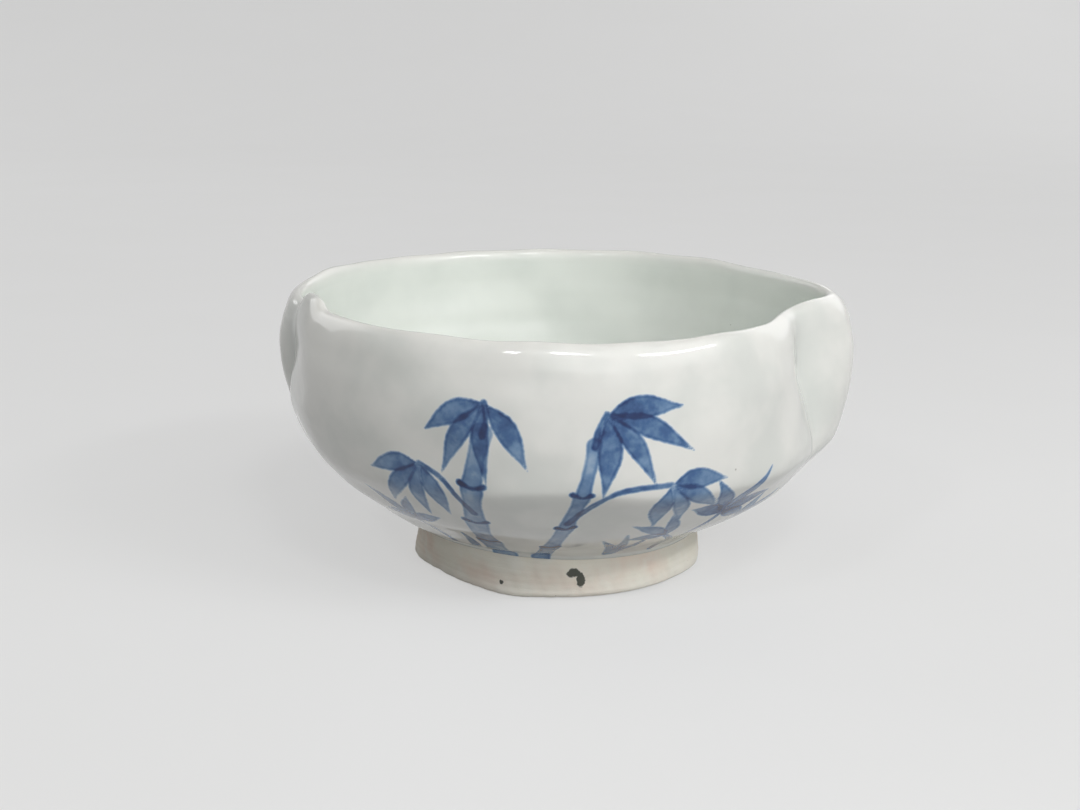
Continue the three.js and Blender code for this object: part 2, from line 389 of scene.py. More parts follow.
    def shaped(
        self, radius: Array, thrown_azimuth: Array, height: Array
    ) -> tuple[Array, Array, Array]:
        """Place on the round bowl to its place on the finished one.

        The radius grows by the reach over the belly's radius: the squeeze less the depth of
        each pleat and flat. The height gains the rim's wave.

        Args:
            radius: Radii on the round bowl.
            thrown_azimuth: Azimuths on the round bowl.
            height: Heights on the round bowl.

        Returns:
            Radius, azimuth and height on the finished bowl.
        """
        turns = (self.lean_turn(pleat, thrown_azimuth, height) for pleat in self.pleats)
        azimuth = thrown_azimuth + sum(turns)
        rim_pull = smoothstep(height, self.rim_start, self.rim_full)
        low_pull = smoothstep(height, WALL_FOOT[1], WALL_FOOT[1] + self.low_rise) * (1 - rim_pull)
        reach = rim_pull * ring_value(self.rim_squeeze, azimuth)
        reach = reach + low_pull * ring_value(self.low_squeeze, azimuth)
        for pleat in self.pleats:
            reach = reach - pleat.depth * self.pleat_share(pleat, radius, thrown_azimuth, height)
        for flat in self.flats:
            reach = reach - flat.depth * self.flat_share(flat, azimuth, height)
        lift = ring_value(self.rim_wave, azimuth) * smoothstep(height, self.wave_start, RIM_HEIGHT)
        for nudge in self.nudges:
            share = self.nudge_share(nudge, azimuth, height)
            reach = reach - nudge.pull * share
            lift = lift + nudge.lift * share
        return radius * (1 + reach / BELLY_RADIUS), azimuth, height + lift


@dataclass(frozen=True)
class RoundBowl:
    """The bowl as thrown: profiles of its glazed surface before the hand shaping."""

    rim_radius: float = 58.0
    belly_height: float = 48.0
    belly_thickness: float = 4.6
    low_thickness: float = 4.8
    floor_radius: float = 20.0
    floor_height: float = 13.0
    floor_dish: float = 0.6
    glaze_lap: float = 5.0
    lap_step: float = 0.06
    fineness: int = 6000
    wall_course: tuple[tuple[float, float], ...] = (
        (0.13, 0.07), (0.38, 0.18), (0.66, 0.335), (0.865, 0.53), (0.97, 0.77),
    )
    lip_course: tuple[tuple[float, float], ...] = (
        (2.9, -6.0), (2.35, -3.6), (1.6, -1.75), (0.65, -0.5), (-0.45, -0.02), (-1.3, -0.4),
        (-1.85, -1.85),
    )

    def wall_keys(self) -> Array:
        """Key points of the outside from the foot to the belly."""
        foot, belly = np.array(WALL_FOOT), np.array([BELLY_RADIUS, self.belly_height])
        return np.vstack([foot, foot + np.array(self.wall_course) * (belly - foot), belly])

    def lining_keys(self) -> Array:
        """Key points of the inside, from the lap's edge to the middle of the floor.

        The wall's keys are the outside's, moved in by a thickness that runs evenly from the
        belly's to the lower wall's.

        Returns:
            Radii and heights, one row for each key.
        """
        keys = np.vstack([self.wall_keys(), self.lip()[0]])
        lap = np.array([self.lip()[-1][0] + self.lap_step, RIM_HEIGHT - self.glaze_lap])
        along = keys[2:] - keys[:-2]
        along /= np.linalg.norm(along, axis=1, keepdims=True)
        normal = np.stack([-along[:, 1], along[:, 0]], axis=1)[1:][::-1]
        thickness = np.linspace(self.belly_thickness, self.low_thickness, len(normal))
        wall = keys[2:-1][::-1] + normal * thickness[:, None]
        floor = [(self.floor_radius, self.floor_height + self.floor_dish), (0.0, self.floor_height)]
        return np.vstack([lap, wall, floor])

    def lip(self) -> Array:
        """Key points over the rim: a full shoulder outside, and a tighter turn inside."""
        return np.array([self.rim_radius, RIM_HEIGHT]) + np.array(self.lip_course)

    def profile(self) -> Array:
        """The whole course, from the foot over the rim to the middle of the floor."""
        return curved(np.vstack([self.wall_keys(), self.lip(), self.lining_keys()]), self.fineness)

    def outside(self) -> Array:
        """Part of the profile from the foot to the start of the lip."""
        whole = self.profile()
        return whole[: np.argmax(whole[:, 1] > self.lip()[0][1])]

    def inside(self, above_lap: float) -> Array:
        """Part of the profile from a distance above the lap's edge to the floor's middle.

        Args:
            above_lap: Distance above the lap's edge.

        Returns:
            Points from the lap down to the middle of the floor.
        """
        whole = self.profile()
        down = np.arange(len(whole)) > whole[:, 1].argmax()
        edge = np.argmax(down & (whole[:, 1] < RIM_HEIGHT - self.glaze_lap + above_lap))
        return whole[edge:]

    def rim(self) -> Array:
        """Part of the profile from the start of the lip to the lap's edge."""
        whole = self.profile()
        return whole[len(self.outside()) - 1 : len(whole) - len(self.inside(0.0)) + 1]


@dataclass(frozen=True)
class Meridians:
    """Azimuths of a skin's meridians, which crowd where the surface needs them."""

    count: int
    front: float = 2.0
    crease: float = 2.5
    front_from: float = -155.0
    front_to: float = -12.0
    front_fade: float = 10.0
    creases: tuple[float, ...] = (-23.5, -166.0)
    crease_spread: float = 5.0

    def azimuths(self) -> Array:
        """Azimuths spaced by the inverse of a density round the turn.

        The density is 1, plus a plateau over the painted front, plus a bell at each crease.

        Returns:
            Angles in radians, one for each meridian.
        """
        degrees = np.linspace(-180.0, 180.0, 7201)
        rise = smoothstep(degrees, self.front_from - self.front_fade, self.front_from)
        fall = smoothstep(degrees, self.front_to, self.front_to + self.front_fade)
        density = 1 + self.front * (rise * (1 - fall))
        for crease in self.creases:
            away = degrees_from(crease, np.radians(degrees))
            density = density + self.crease * bell(away, 0.0, self.crease_spread)
        run = np.concatenate([[0.0], np.cumsum(0.5 * (density[1:] + density[:-1]))])
        marks = np.linspace(0.0, run[-1], self.count, endpoint=False)
        return np.radians(np.interp(marks, run, degrees))


# ---------------------------------------------------------------- skins


class Closure(Enum):
    """How the rings of a skin close on themselves."""

    LOOP = "the last ring joins the first"
    POLES = "the first and last rings are single points on the axis"


@dataclass
class Skin:
    """A closed surface on a grid of rings and meridians, with values for its material."""

    name: str
    rings: Array
    closure: Closure
    values: dict[str, Array] = field(default_factory=dict)

    def faces(self) -> list[list[int]]:
        """Faces of the grid, turned outwards for a profile that climbs on its outer side.

        Returns:
            Corner numbers: quads between rings, and a fan of triangles at each pole.
        """
        ring_count, count = self.rings.shape[:2]
        here = np.arange(count)
        beside = np.roll(here, -1)
        if self.closure is Closure.LOOP:
            low = np.arange(ring_count)[:, None] * count
            high = np.roll(low, -1, axis=0)
            fans: list[list[int]] = []
        else:
            low = np.arange(ring_count - 3)[:, None] * count + 1
            high = low + count
            last = (ring_count - 3) * count + 1
            top = (ring_count - 2) * count + 1
            start_fan = np.stack([np.zeros(count, int), beside + 1, here + 1], axis=1)
            end_fan = np.stack([last + here, last + beside, np.full(count, top)], axis=1)
            fans = np.concatenate([start_fan, end_fan]).tolist()
        quads = np.stack([low + here, low + beside, high + beside, high + here], axis=-1)
        return quads.reshape(-1, 4).tolist() + fans

    def per_vertex(self, grid: Array) -> Array:
        """Grid values in the order of the mesh's vertices, with one for each pole.

        Args:
            grid: A value, or a row of them, at each grid point.

        Returns:
            The same values, one row for each vertex of the mesh.
        """
        if self.closure is Closure.LOOP:
            return grid.reshape(-1, *grid.shape[2:])
        inner = grid[1:-1].reshape(-1, *grid.shape[2:])
        return np.concatenate([grid[:1, 0], inner, grid[-1:, 0]])

    def build(self, material: bpy.types.Material, slot: str, node: str) -> None:
        """Args:
            material: Finish of the skin.
            slot: Material slot of the record; not used.
            node: CAD node that the skin stands for.
        """
        vertices = self.per_vertex(self.rings) + np.array([*FOOT_AXIS, 0.0])
        mesh = bpy.data.meshes.new(self.name)
        mesh.from_pydata((vertices * MM).tolist(), [], self.faces())
        for name, grid in self.values.items():
            layer = mesh.attributes.new(name, "FLOAT", "POINT")
            layer.data.foreach_set("value", self.per_vertex(grid).astype(np.float32))
        mesh.shade_smooth()
        mesh.materials.append(material)
        piece = bpy.data.objects.new(self.name, mesh)
        bpy.context.scene.collection.objects.link(piece)
        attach(piece, "root")
        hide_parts(node)
        LOG.info("%s: %d vertices, %d faces", self.name, len(mesh.vertices), len(mesh.polygons))


def in_space(radius: Array, azimuth: Array, height: Array) -> Array:
    """Radius, azimuth and height, spread to one grid, as points in space."""
    parts = np.broadcast_arrays(radius * np.cos(azimuth), radius * np.sin(azimuth), height)
    return np.stack(parts, axis=-1)


def sunk(course: Array, azimuths: Array, depth: Array) -> Array:
    """Grid of places under a turned profile, each moved into the wall along the normal.

    Args:
        course: Radius and height of each ring.
        azimuths: Azimuth of each meridian.
        depth: Depth into the wall at each ring and meridian.

    Returns:
        Grids of radius, azimuth and height, of rings by meridians.
    """
    normal = inward(course)
    radius = course[:, None, 0] + normal[:, None, 0] * depth
    height = course[:, None, 1] + normal[:, None, 1] * depth
    return np.stack([np.maximum(radius, 0.0), np.broadcast_to(azimuths, radius.shape), height])


def even_rows(count: int, kept: int) -> Array:
    """Numbers of some rows, spread evenly from the last of them to the first."""
    return np.linspace(count - 1, 0, kept).round().astype(int)


# ---------------------------------------------------------------- brush painting


class Layer(Enum):
    """Coats of brushwork, the lightest first. Where two cross, the blue deepens."""

    WASH = "wash"
    LEAF = "leaf"
    OVER = "over"
    LINE = "line"


@dataclass(frozen=True)
class Stroke:
    """One pull of the brush. Its course is in mm across the belly and up from the foot."""

    layer: Layer
    course: tuple[tuple[float, float], ...]
    widths: tuple[float, ...]
    loads: tuple[float, float]
    samples: int = 14

    def brushed(self, azimuth: Array, climb: Array, radius: Array) -> tuple[Array, Array]:
        """Distance inside the stroke's edge, and its ink, at places on the wall.

        Each place measures the course in its own flat patch: differences of azimuth times
        the radius there, and differences of climb. The distance is half the stroke's width
        less the gap to the nearest piece of the course.

        Args:
            azimuth: Azimuths of the places.
            climb: Lengths of wall from the glaze line up to the places.
            radius: Radii of the places.

        Returns:
            Distance in mm, below zero outside, and ink from 0 to 1.
        """
        points = curved(self.course, self.samples)
        marks = np.linspace(0.0, 1.0, self.samples)
        width = np.interp(marks, np.linspace(0.0, 1.0, len(self.widths)), self.widths)
        bearing = -math.pi / 2 + points[:, 0] / PAINTED_RADIUS
        across = turned(bearing[None, :] - azimuth[:, None]) * radius[:, None]
        up = points[None, :, 1] - climb[:, None]
        run = np.stack([np.diff(across, axis=1), np.diff(up, axis=1)])
        start = np.stack([across[:, :-1], up[:, :-1]])
        share = np.clip(-(start * run).sum(axis=0) / (run**2).sum(axis=0), 0.0, 1.0)
        gap = np.hypot(*(start + share * run))
        inside = 0.5 * (width[:-1] + share * np.diff(width)) - gap
        nearest = inside.argmax(axis=1)
        row = np.arange(len(azimuth))
        place = (nearest + share[row, nearest]) / (self.samples - 1)
        return inside[row, nearest], self.loads[0] + place * (self.loads[1] - self.loads[0])


def along_angle(start: tuple[float, float], degrees: float, length: float) -> tuple[float, float]:
    """Point at a distance from a start, in a direction counted from the right."""
    angle = math.radians(degrees)
    return start[0] + length * math.cos(angle), start[1] + length * math.sin(angle)


@dataclass(frozen=True)
class Spray:
    """A fan of bamboo leaves that hang from the end of a twig."""

    tip: tuple[float, float]
    directions: tuple[float, ...]
    length: float
    width: float
    load: float = 0.62
    stem: float = 0.8
    belly_share: float = 0.45
    sag: float = 7.0
    stem_width: float = 0.5
    point_width: float = 0.1
    swells: tuple[float, ...] = (0.62, 1.0, 0.95, 0.66, 0.3)

    def strokes(self) -> list[Stroke]:
        """Leaves that swell past a thin stem and end in a drawn-out point.

        A leaf's length shrinks away from the fan's middle, and each one bends down a little.

        Returns:
            One stroke for each leaf, by turns in the two leaf layers.
        """
        leaves = []
        middle = (len(self.directions) - 1) / 2
        for number, direction in enumerate(self.directions):
            length = self.length * (1.08 - 0.16 * abs(number - middle) + 0.1 * (number % 2))
            sag = -self.sag if math.cos(math.radians(direction)) > 0 else self.sag
            stem = along_angle(self.tip, direction, self.stem)
            belly = along_angle(self.tip, direction, self.belly_share * length)
            point = along_angle(self.tip, direction + sag, length)
            swell = self.width * (1.0 - 0.1 * (number % 3))
            body = (share * swell for share in self.swells)
            widths = (self.stem_width, *body, self.point_width)
            layer = Layer.OVER if number % 2 else Layer.LEAF
            loads = (self.load + 0.16 - 0.05 * (number % 3), self.load - 0.14)
            leaves.append(Stroke(layer, (stem, belly, point), widths, loads))
        return leaves


@dataclass(frozen=True)
class Culm:
    """A bamboo stem of washed joints, with a dark stroke at each node."""

    base: tuple[float, float]
    top: tuple[float, float]
    bow: float
    width: float
    joints: int
    load: float = 0.34
    gap: float = 0.045
    thinning: float = 0.3
    waist: float = 0.84
    node_share: float = 0.62
    node_widths: tuple[float, ...] = (1.3, 0.8, 0.7, 1.2)
    node_loads: tuple[float, float] = (0.8, 0.7)

    def place(self, share: float) -> tuple[float, float]:
        """Point at a share of the way up: a straight line with a bow to the side.

        Args:
            share: Share of the way up the culm.

        Returns:
            The point there.
        """
        bow = self.bow * 4 * share * (1 - share)
        across = self.base[0] + share * (self.top[0] - self.base[0]) + bow
        return across, self.base[1] + share * (self.top[1] - self.base[1])

    def node(self, share: float, half: float) -> Stroke:
        """Dark stroke across a node: two raised ends and a dip between them.

        Args:
            share: Share of the way up the culm.
            half: Half of the stroke's length.

        Returns:
            The stroke.
        """
        across, up = self.place(share)
        course = ((across - half, up + 0.55), (across, up - 0.35), (across + half, up + 0.5))
        return Stroke(Layer.LINE, course, self.node_widths, self.node_loads)

    def strokes(self) -> list[Stroke]:
        """Joints that flare at both ends, with bare wall between, and the node strokes.

        Returns:
            The strokes from the base up.
        """
        pulls = []
        for joint in range(self.joints):
            low, high = (joint + self.gap) / self.joints, (joint + 1 - self.gap) / self.joints
            flare = self.width * (1 - self.thinning * joint / self.joints)
            waist = self.waist * flare
            course = (self.place(low), self.place((low + high) / 2), self.place(high))
            loads = (self.load, self.load + 0.08)
            if joint % 2:
                loads = (self.load + 0.1, self.load - 0.06)
            pulls.append(Stroke(Layer.WASH, course, (flare, waist, waist, waist, flare), loads))
            if joint:
                pulls.append(self.node(joint / self.joints, self.node_share * flare))
        return pulls


@dataclass(frozen=True)
class BrushPainting:
    """Bamboo in blue under the glaze: two culms, leaf sprays, and low bamboo grass."""

    reach: float = 5.0
    spare: float = 2.2
    outside: float = -3.0
    culms: tuple[Culm, ...] = (
        Culm((-21.5, 0.5), (-15.0, 48.5), -1.8, 5.6, 4, 0.3),
        Culm((-7.5, 0.5), (6.4, 46.5), 1.6, 3.8, 4, 0.36),
    )
    sprays: tuple[Spray, ...] = (
        Spray((-14.5, 54.0), (-160, -130, -98, -52), 16.5, 4.4, 0.5),
        Spray((-29.5, 40.0), (-176, -142, -108, -70), 15.5, 4.2, 0.42),
        Spray((8.5, 52.0), (10, -18, -48, -84), 18.0, 4.8, 0.54),
        Spray((22.0, 37.0), (6, -26, -58, -96), 15.5, 4.4, 0.42),
        Spray((40.0, 24.0), (152, 112, 66, 26, -10), 14.0, 4.4, 0.54),
        Spray((29.5, 16.0), (176, 142, 102), 12.5, 3.8, 0.44),
        Spray((51.0, 17.0), (88, 46, 8), 12.0, 3.8, 0.46),
        Spray((-42.0, 19.0), (165, 118, 70, 28), 13.0, 4.0, 0.5),
        Spray((168.0, 30.0), (-150, -115, -80, -40), 15.0, 4.2, 0.44),
    )
    twigs: tuple[tuple[tuple[float, float], ...], ...] = (
        ((-19.4, 28.0), (-24.0, 36.5), (-29.5, 40.0)),
        ((-15.0, 47.5), (-14.2, 51.0), (-14.5, 54.0)),
        ((6.4, 45.5), (7.0, 49.0), (8.5, 52.0)),
        ((1.6, 25.5), (10.0, 35.5), (22.0, 37.0)),
        ((37.0, 2.5), (37.0, 13.0), (40.0, 24.0)),
        ((36.8, 4.0), (34.0, 11.5), (29.5, 16.0)),
        ((37.0, 5.0), (43.5, 14.0), (51.0, 17.0)),
        ((-37.0, 2.5), (-38.6, 10.0), (-42.0, 19.0)),
        ((166.0, 8.0), (165.0, 20.0), (168.0, 30.0)),
    )
    grasses: tuple[tuple[tuple[float, float], ...], ...] = (
        ((17.5, 3.0), (16.0, 9.5), (11.8, 15.5)),
        ((18.5, 3.0), (19.0, 10.5), (17.4, 19.0)),
        ((19.5, 3.0), (22.6, 9.0), (24.4, 15.0)),
        ((-31.0, 3.0), (-29.0, 9.0), (-28.6, 16.0)),
    )
    twig_widths: tuple[float, ...] = (1.5, 1.0, 1.1)
    twig_loads: tuple[float, float] = (0.56, 0.44)
    grass_widths: tuple[float, ...] = (1.6, 2.2, 0.4)
    grass_loads: tuple[float, float] = (0.52, 0.36)

    def strokes(self) -> list[Stroke]:
        """Every pull of the brush.

        Returns:
            The strokes, in the order in which they are painted.
        """
        pulls = [stroke for group in (*self.culms, *self.sprays) for stroke in group.strokes()]
        for courses, widths, loads in (
            (self.twigs, self.twig_widths, self.twig_loads),
            (self.grasses, self.grass_widths, self.grass_loads),
        ):
            pulls += [Stroke(Layer.LINE, course, widths, loads) for course in courses]
        return pulls

    def painted(self, azimuth: Array, climb: Array, radius: Array) -> dict[str, Array]:
        """Values that the painted glaze reads: each layer's edge distance and ink.

        Args:
            azimuth: Azimuth grid of the coat's outside.
            climb: Grid of lengths up the wall from the glaze line.
            radius: Radius grid.

        Returns:
            Attribute grids by name.
        """
        edges = {layer: np.full(azimuth.shape, self.outside) for layer in Layer}
        loads = {layer: np.zeros(azimuth.shape) for layer in Layer}
        for stroke in self.strokes():
            course = np.array(stroke.course)
            low, high = course[:, 1].min() - self.reach, course[:, 1].max() + self.reach
            middle = -math.pi / 2 + course[:, 0].mean() / PAINTED_RADIUS
            half_across = 0.5 * np.ptp(course[:, 0]) + 2 * self.reach
            near = np.abs(turned(azimuth - middle)) * PAINTED_RADIUS < self.spare * half_across
            near &= (climb > low) & (climb < high)
            inside, load = stroke.brushed(azimuth[near], climb[near], radius[near])
            deeper = inside > edges[stroke.layer][near]
            edges[stroke.layer][near] = np.where(deeper, inside, edges[stroke.layer][near])
            loads[stroke.layer][near] = np.where(deeper, load, loads[stroke.layer][near])
        values = {f"{layer.value}_edge": np.maximum(edges[layer], self.outside) for layer in Layer}
        values |= {f"{layer.value}_load": loads[layer] for layer in Layer}
        return values


# ---------------------------------------------------------------- layers of the bowl


def glaze_line(azimuth: Array) -> Array:
    """Height by which the glaze's lower edge, and the foot's top, wander round the bowl."""
    return ring_value(GLAZE_LINE, azimuth)


@dataclass(frozen=True)
class OuterCoat:
    """Glaze over the outside and the lip, down to the lap inside the rim."""

    bowl: RoundBowl = RoundBowl()
    shaping: HandShaping = HandShaping()
    meridians: Meridians = Meridians(500)
    painting: BrushPainting = BrushPainting()
    thickness: float = 0.4
    wall_rings: int = 128
    lip_rings: int = 38
    inner_rings: int = 26
    bead: tuple[tuple[float, float], ...] = ((31.16, 7.86), (31.4, 8.12), (31.56, 8.5), (32.1, 9.1))
    bead_reach: float = 2.0
    bead_swell: float = 0.2
    bead_middle: float = 0.8
    bead_width: float = 0.55
    lap_feather: float = 3.2
    lap_sink: float = 0.15
    lip_band: tuple[float, float] = (50.0, 57.0)
    foot_fade: tuple[float, float] = (1.0, 8.0)
    lap_fade: tuple[float, float] = (2.4, 7.0)
    hang_band: tuple[float, float] = (8.2, 12.0)
    thin_reach: float = 1.6
    lined_from_lap: float = 1.5
    pool_reach: float = 1.6
    pool_share: float = 0.9
    pool_lean: float = 0.4
    pool_width: float = 5.0
    pool_band: tuple[float, float] = (30.0, 48.0)
    wall_ripples: Ripples = Ripples(seed=11, shortest=12.0, longest=30.0, depth=0.11)
    lip_ripples: Ripples = Ripples(seed=5, shortest=14.0, longest=30.0, depth=0.14)
    presses: PressMarks = PressMarks(8, 46, (22, 54), (8, 16), (7, 14), (0.15, 0.55))
    crease_depth: float = 0.35
    crease_width: float = 1.1
    crease_foot: tuple[float, float] = (24.0, 32.0)
    crease_top: tuple[float, float] = (44.0, 53.0)
    ridge_level: float = 29.6
    ridge_heights: tuple[float, ...] = (
        0.4, 0.15, 0.25, 0.1, 0.25, 0.15, 0.25, 0.3, 0.45, 0.8, 0.9, 0.9,
    )
    ridge_reach: float = 4.5
    ridge_softness: float = 0.6
    hollow_drop: float = 5.5
    hollow_reach: float = 3.5
    hollow_share: float = 0.55

    def course(self) -> tuple[Array, Array]:
        """Rings of the coat's open side, with the lengths up from the glaze line.

        Returns:
            Radius and height of each ring, and the climb of each.
        """
        wall = self.bowl.outside()
        kept = wall[lengths_along(wall) > self.bead_reach]
        outside = even_course(np.vstack([curved(self.bead, 30), kept]), self.wall_rings)
        course = np.vstack([outside, even_course(self.bowl.rim(), self.lip_rings)[1:]])
        return course, lengths_along(course)

    def ridge(self, azimuth: Array, height: Array) -> Array:
        """Height of the ridge where the bowl turns under, with a shallow hollow below it.

        Its sides fall away exponentially from a slightly rounded top. Its level wanders by a
        wave of three and a wave of seven swings round the bowl.

        Args:
            azimuth: Azimuth of each meridian.
            height: Height of each ring.

        Returns:
            Grid of heights above the wall.
        """
        level = self.ridge_level + 0.7 * np.sin(3.0 * azimuth + 0.6) + 0.4 * np.sin(7.0 * azimuth)
        away = np.hypot(height - level, self.ridge_softness) / self.ridge_reach
        hollow = self.hollow_share * bell(height, level - self.hollow_drop, self.hollow_reach)
        return ring_value(self.ridge_heights, azimuth) * (np.exp(-away) - hollow)

    def unevenness(self, course: Array, climb: Array, azimuths: Array) -> Array:
        """Depth of the hand's marks: ripples, pressed flats, dents in the lip, and a ridge.

        Args:
            course: Radius and height of each ring.
            climb: Length up to each ring.
            azimuths: Azimuth of each meridian.

        Returns:
            Grid of depths into the wall.
        """
        azimuth, height = azimuths[None, :], course[:, None, 1]
        round_place = in_space(course[:, None, 0], azimuth, height)
        lip = smoothstep(height, *self.lip_band)
        clear = smoothstep(climb, *self.foot_fade) * smoothstep(climb[-1] - climb, *self.lap_fade)
        outer = (np.arange(len(course)) < course[:, 1].argmax())[:, None]
        depth = self.wall_ripples.at(round_place) + self.lip_ripples.at(round_place) * lip
        depth = depth * clear[:, None] + self.presses.at(azimuth, height) * outer * (1 - lip)
        closed = smoothstep(height, *self.crease_foot) * outer
        closed = closed * (1 - smoothstep(height, *self.crease_top))
        for pleat in self.shaping.pleats:
            crease = bell(degrees_from(pleat.azimuth, azimuth), 0.0, self.crease_width)
            depth = depth + self.crease_depth * crease * closed
        return depth - self.ridge(azimuth, height) * outer

    def edge_depth(self, climb: Array) -> Array:
        """Depth of the open side: rounded, then a bead, at the foot, and thin at the lap.

        Args:
            climb: Length up to each ring from the glaze line.

        Returns:
            Depth of each ring.
        """
        low = np.clip(climb / self.thickness, 0.0, 1.0)
        rounded = self.thickness * (1 - np.sqrt(1 - (1 - low) ** 2))
        lap = self.lap_sink * (1 - np.clip((climb[-1] - climb) / self.lap_feather, 0.0, 1.0)) ** 2
        return rounded + lap - self.bead_swell * bell(climb, self.bead_middle, self.bead_width)

    def pooling(self, azimuth: Array, climb: Array) -> Array:
        """Where the glaze lies thick: in the creases and at the foot line.

        Args:
            azimuth: Azimuth grid of the skin.
            climb: Length up to each ring.

        Returns:
            Values from 0 to 1.
        """
        pool = bell(climb, 0.0, self.pool_reach)
        high = smoothstep(climb, *self.pool_band)
        for pleat in self.shaping.pleats:
            away = degrees_from(pleat.azimuth + self.pool_lean * pleat.lean, azimuth)
            pool = pool + self.pool_share * bell(away, 0.0, self.pool_width) * high
        return np.clip(pool, 0.0, 1.0)

    def skin(self) -> Skin:
        """The coat as a closed shell, with the painting and the glaze's pooling as values.

        The open side climbs from the foot over the lip to the lap, and the grip side
        returns at the coat's thickness. Both take the same unevenness.

        Returns:
            The skin.
        """
        azimuths = self.meridians.azimuths()
        course, climb = self.course()
        uneven = self.unevenness(course, climb, azimuths)
        open_side = sunk(course, azimuths, self.edge_depth(climb)[:, None] + uneven)
        back = even_rows(len(course), self.inner_rings)[1:-1]
        grip_side = sunk(course, azimuths, self.thickness + uneven)[:, back]
        place = np.concatenate([open_side, grip_side], axis=1)
        hang = glaze_line(place[1]) * (1 - smoothstep(place[2], *self.hang_band))
        radius, azimuth, height = self.shaping.shaped(*place)
        grid = in_space(radius, azimuth, height + hang)
        climbs = np.broadcast_to(np.concatenate([climb, climb[back]])[:, None], radius.shape)
        values = self.painting.painted(azimuth, climbs, radius)
        is_open = (np.arange(len(grid)) < len(course))[:, None]
        values = {name: np.where(is_open, value, value.min()) for name, value in values.items()}
        crest = climb[course[:, 1].argmax()]
        values["pool"] = self.pooling(azimuth, climbs)
        values["thin"] = bell(climbs, crest, self.thin_reach)
        values["lined"] = smoothstep(climbs, crest, climb[-1] - self.lined_from_lap)
        return Skin("glazed_outside", grid, Closure.LOOP, values)


@dataclass(frozen=True)
class Lining:
    """Glaze on the inside, tucked under the lap of the outer coat."""

    bowl: RoundBowl = RoundBowl()
    shaping: HandShaping = HandShaping()
    meridians: Meridians = Meridians(420, front=0.6)
    thickness: float = 0.4
    tuck: float = 2.4
    tuck_depth: float = 0.045
    tuck_run: float = 4.0
    clearance: float = 0.3
    rings: int = 96
    inner_rings: int = 18
    ripples: Ripples = Ripples(seed=23, shortest=16.0, longest=36.0, depth=0.24)
    ring_depth: float = 0.06
    ring_pitch: float = 6.0
    floor_fade: tuple[float, float] = (0.0, 14.0)
    lap_fade: tuple[float, float] = (2.0, 9.0)
    well_band: tuple[float, float] = (30.0, 75.0)
    presses: PressMarks = PressMarks(3, 26, (26, 52), (12, 22), (9, 16), (0.15, 0.5))
    folds: tuple[PaddleFlat, ...] = (
        PaddleFlat(112, 44, 17, 10, 0.7),
        PaddleFlat(80, 46, 15, 9, 0.6),
        PaddleFlat(52, 45, 14, 10, 0.5),
    )

    def unevenness(self, course: Array, azimuths: Array) -> Array:
        """Depth of the hand's marks: ripples, a throwing spiral, and flats that stand out.

        Args:
            course: Radius and height of each ring, from the lap down.
            azimuths: Azimuth of each meridian.

        Returns:
            Grid of depths into the wall.
        """
        down = lengths_along(course)
        out = down[-1] - down
        azimuth, height = azimuths[None, :], course[:, None, 1]
        spiral = self.ring_depth * np.sin(2 * math.pi * out[:, None] / self.ring_pitch - azimuth)
        pressed = self.presses.at(azimuth, height)
        for fold in self.folds:
            pressed = pressed + fold.depth * self.shaping.flat_share(fold, azimuth, height)
        fade = smoothstep(out, *self.floor_fade) * smoothstep(down, *self.lap_fade)
        rippled = self.ripples.at(in_space(course[:, None, 0], azimuth, height))
        return (rippled + spiral - pressed) * fade[:, None]

    def skin(self) -> Skin:
        """The lining as a closed shell: out along its grip side, and back over its open side.

        Returns:
            The skin.
        """
        azimuths = self.meridians.azimuths()
        course = even_course(self.bowl.inside(self.tuck), self.rings)
        down = lengths_along(course)
        uneven = self.unevenness(course, azimuths)
        tucked = self.tuck_depth * (1 - smoothstep(down, 0.0, self.tuck_run))
        open_side = sunk(course, azimuths, tucked[:, None] + uneven)
        out = even_rows(len(course), self.inner_rings)
        depth = self.thickness + self.clearance + np.maximum(uneven, 0.0)
        grip_side = sunk(course, azimuths, depth)[:, out]
        place = np.concatenate([grip_side, open_side], axis=1)
        place[0, [0, -1]] = 0.0
        place[2, [0, -1]] = place[2, [0, -1]].mean(axis=1, keepdims=True)
        grid = in_space(*self.shaping.shaped(*place))
        well = smoothstep(np.concatenate([down[out], down]), *self.well_band)[:, None]
        values = {"well": np.broadcast_to(well, grid.shape[:2])}
        return Skin("lining_glaze", grid, Closure.POLES, values)


@dataclass(frozen=True)
class KnifeCut:
    """A flat trimmed off the outside of the foot. Azimuth and half width are in degrees."""

    azimuth: float
    half_width: float
    depth: float


@dataclass(frozen=True)
class Dab:
    """An ellipse of dark pigment on the foot, with its azimuth in degrees."""

    azimuth: float
    height: float
    half_width: float
    half_height: float


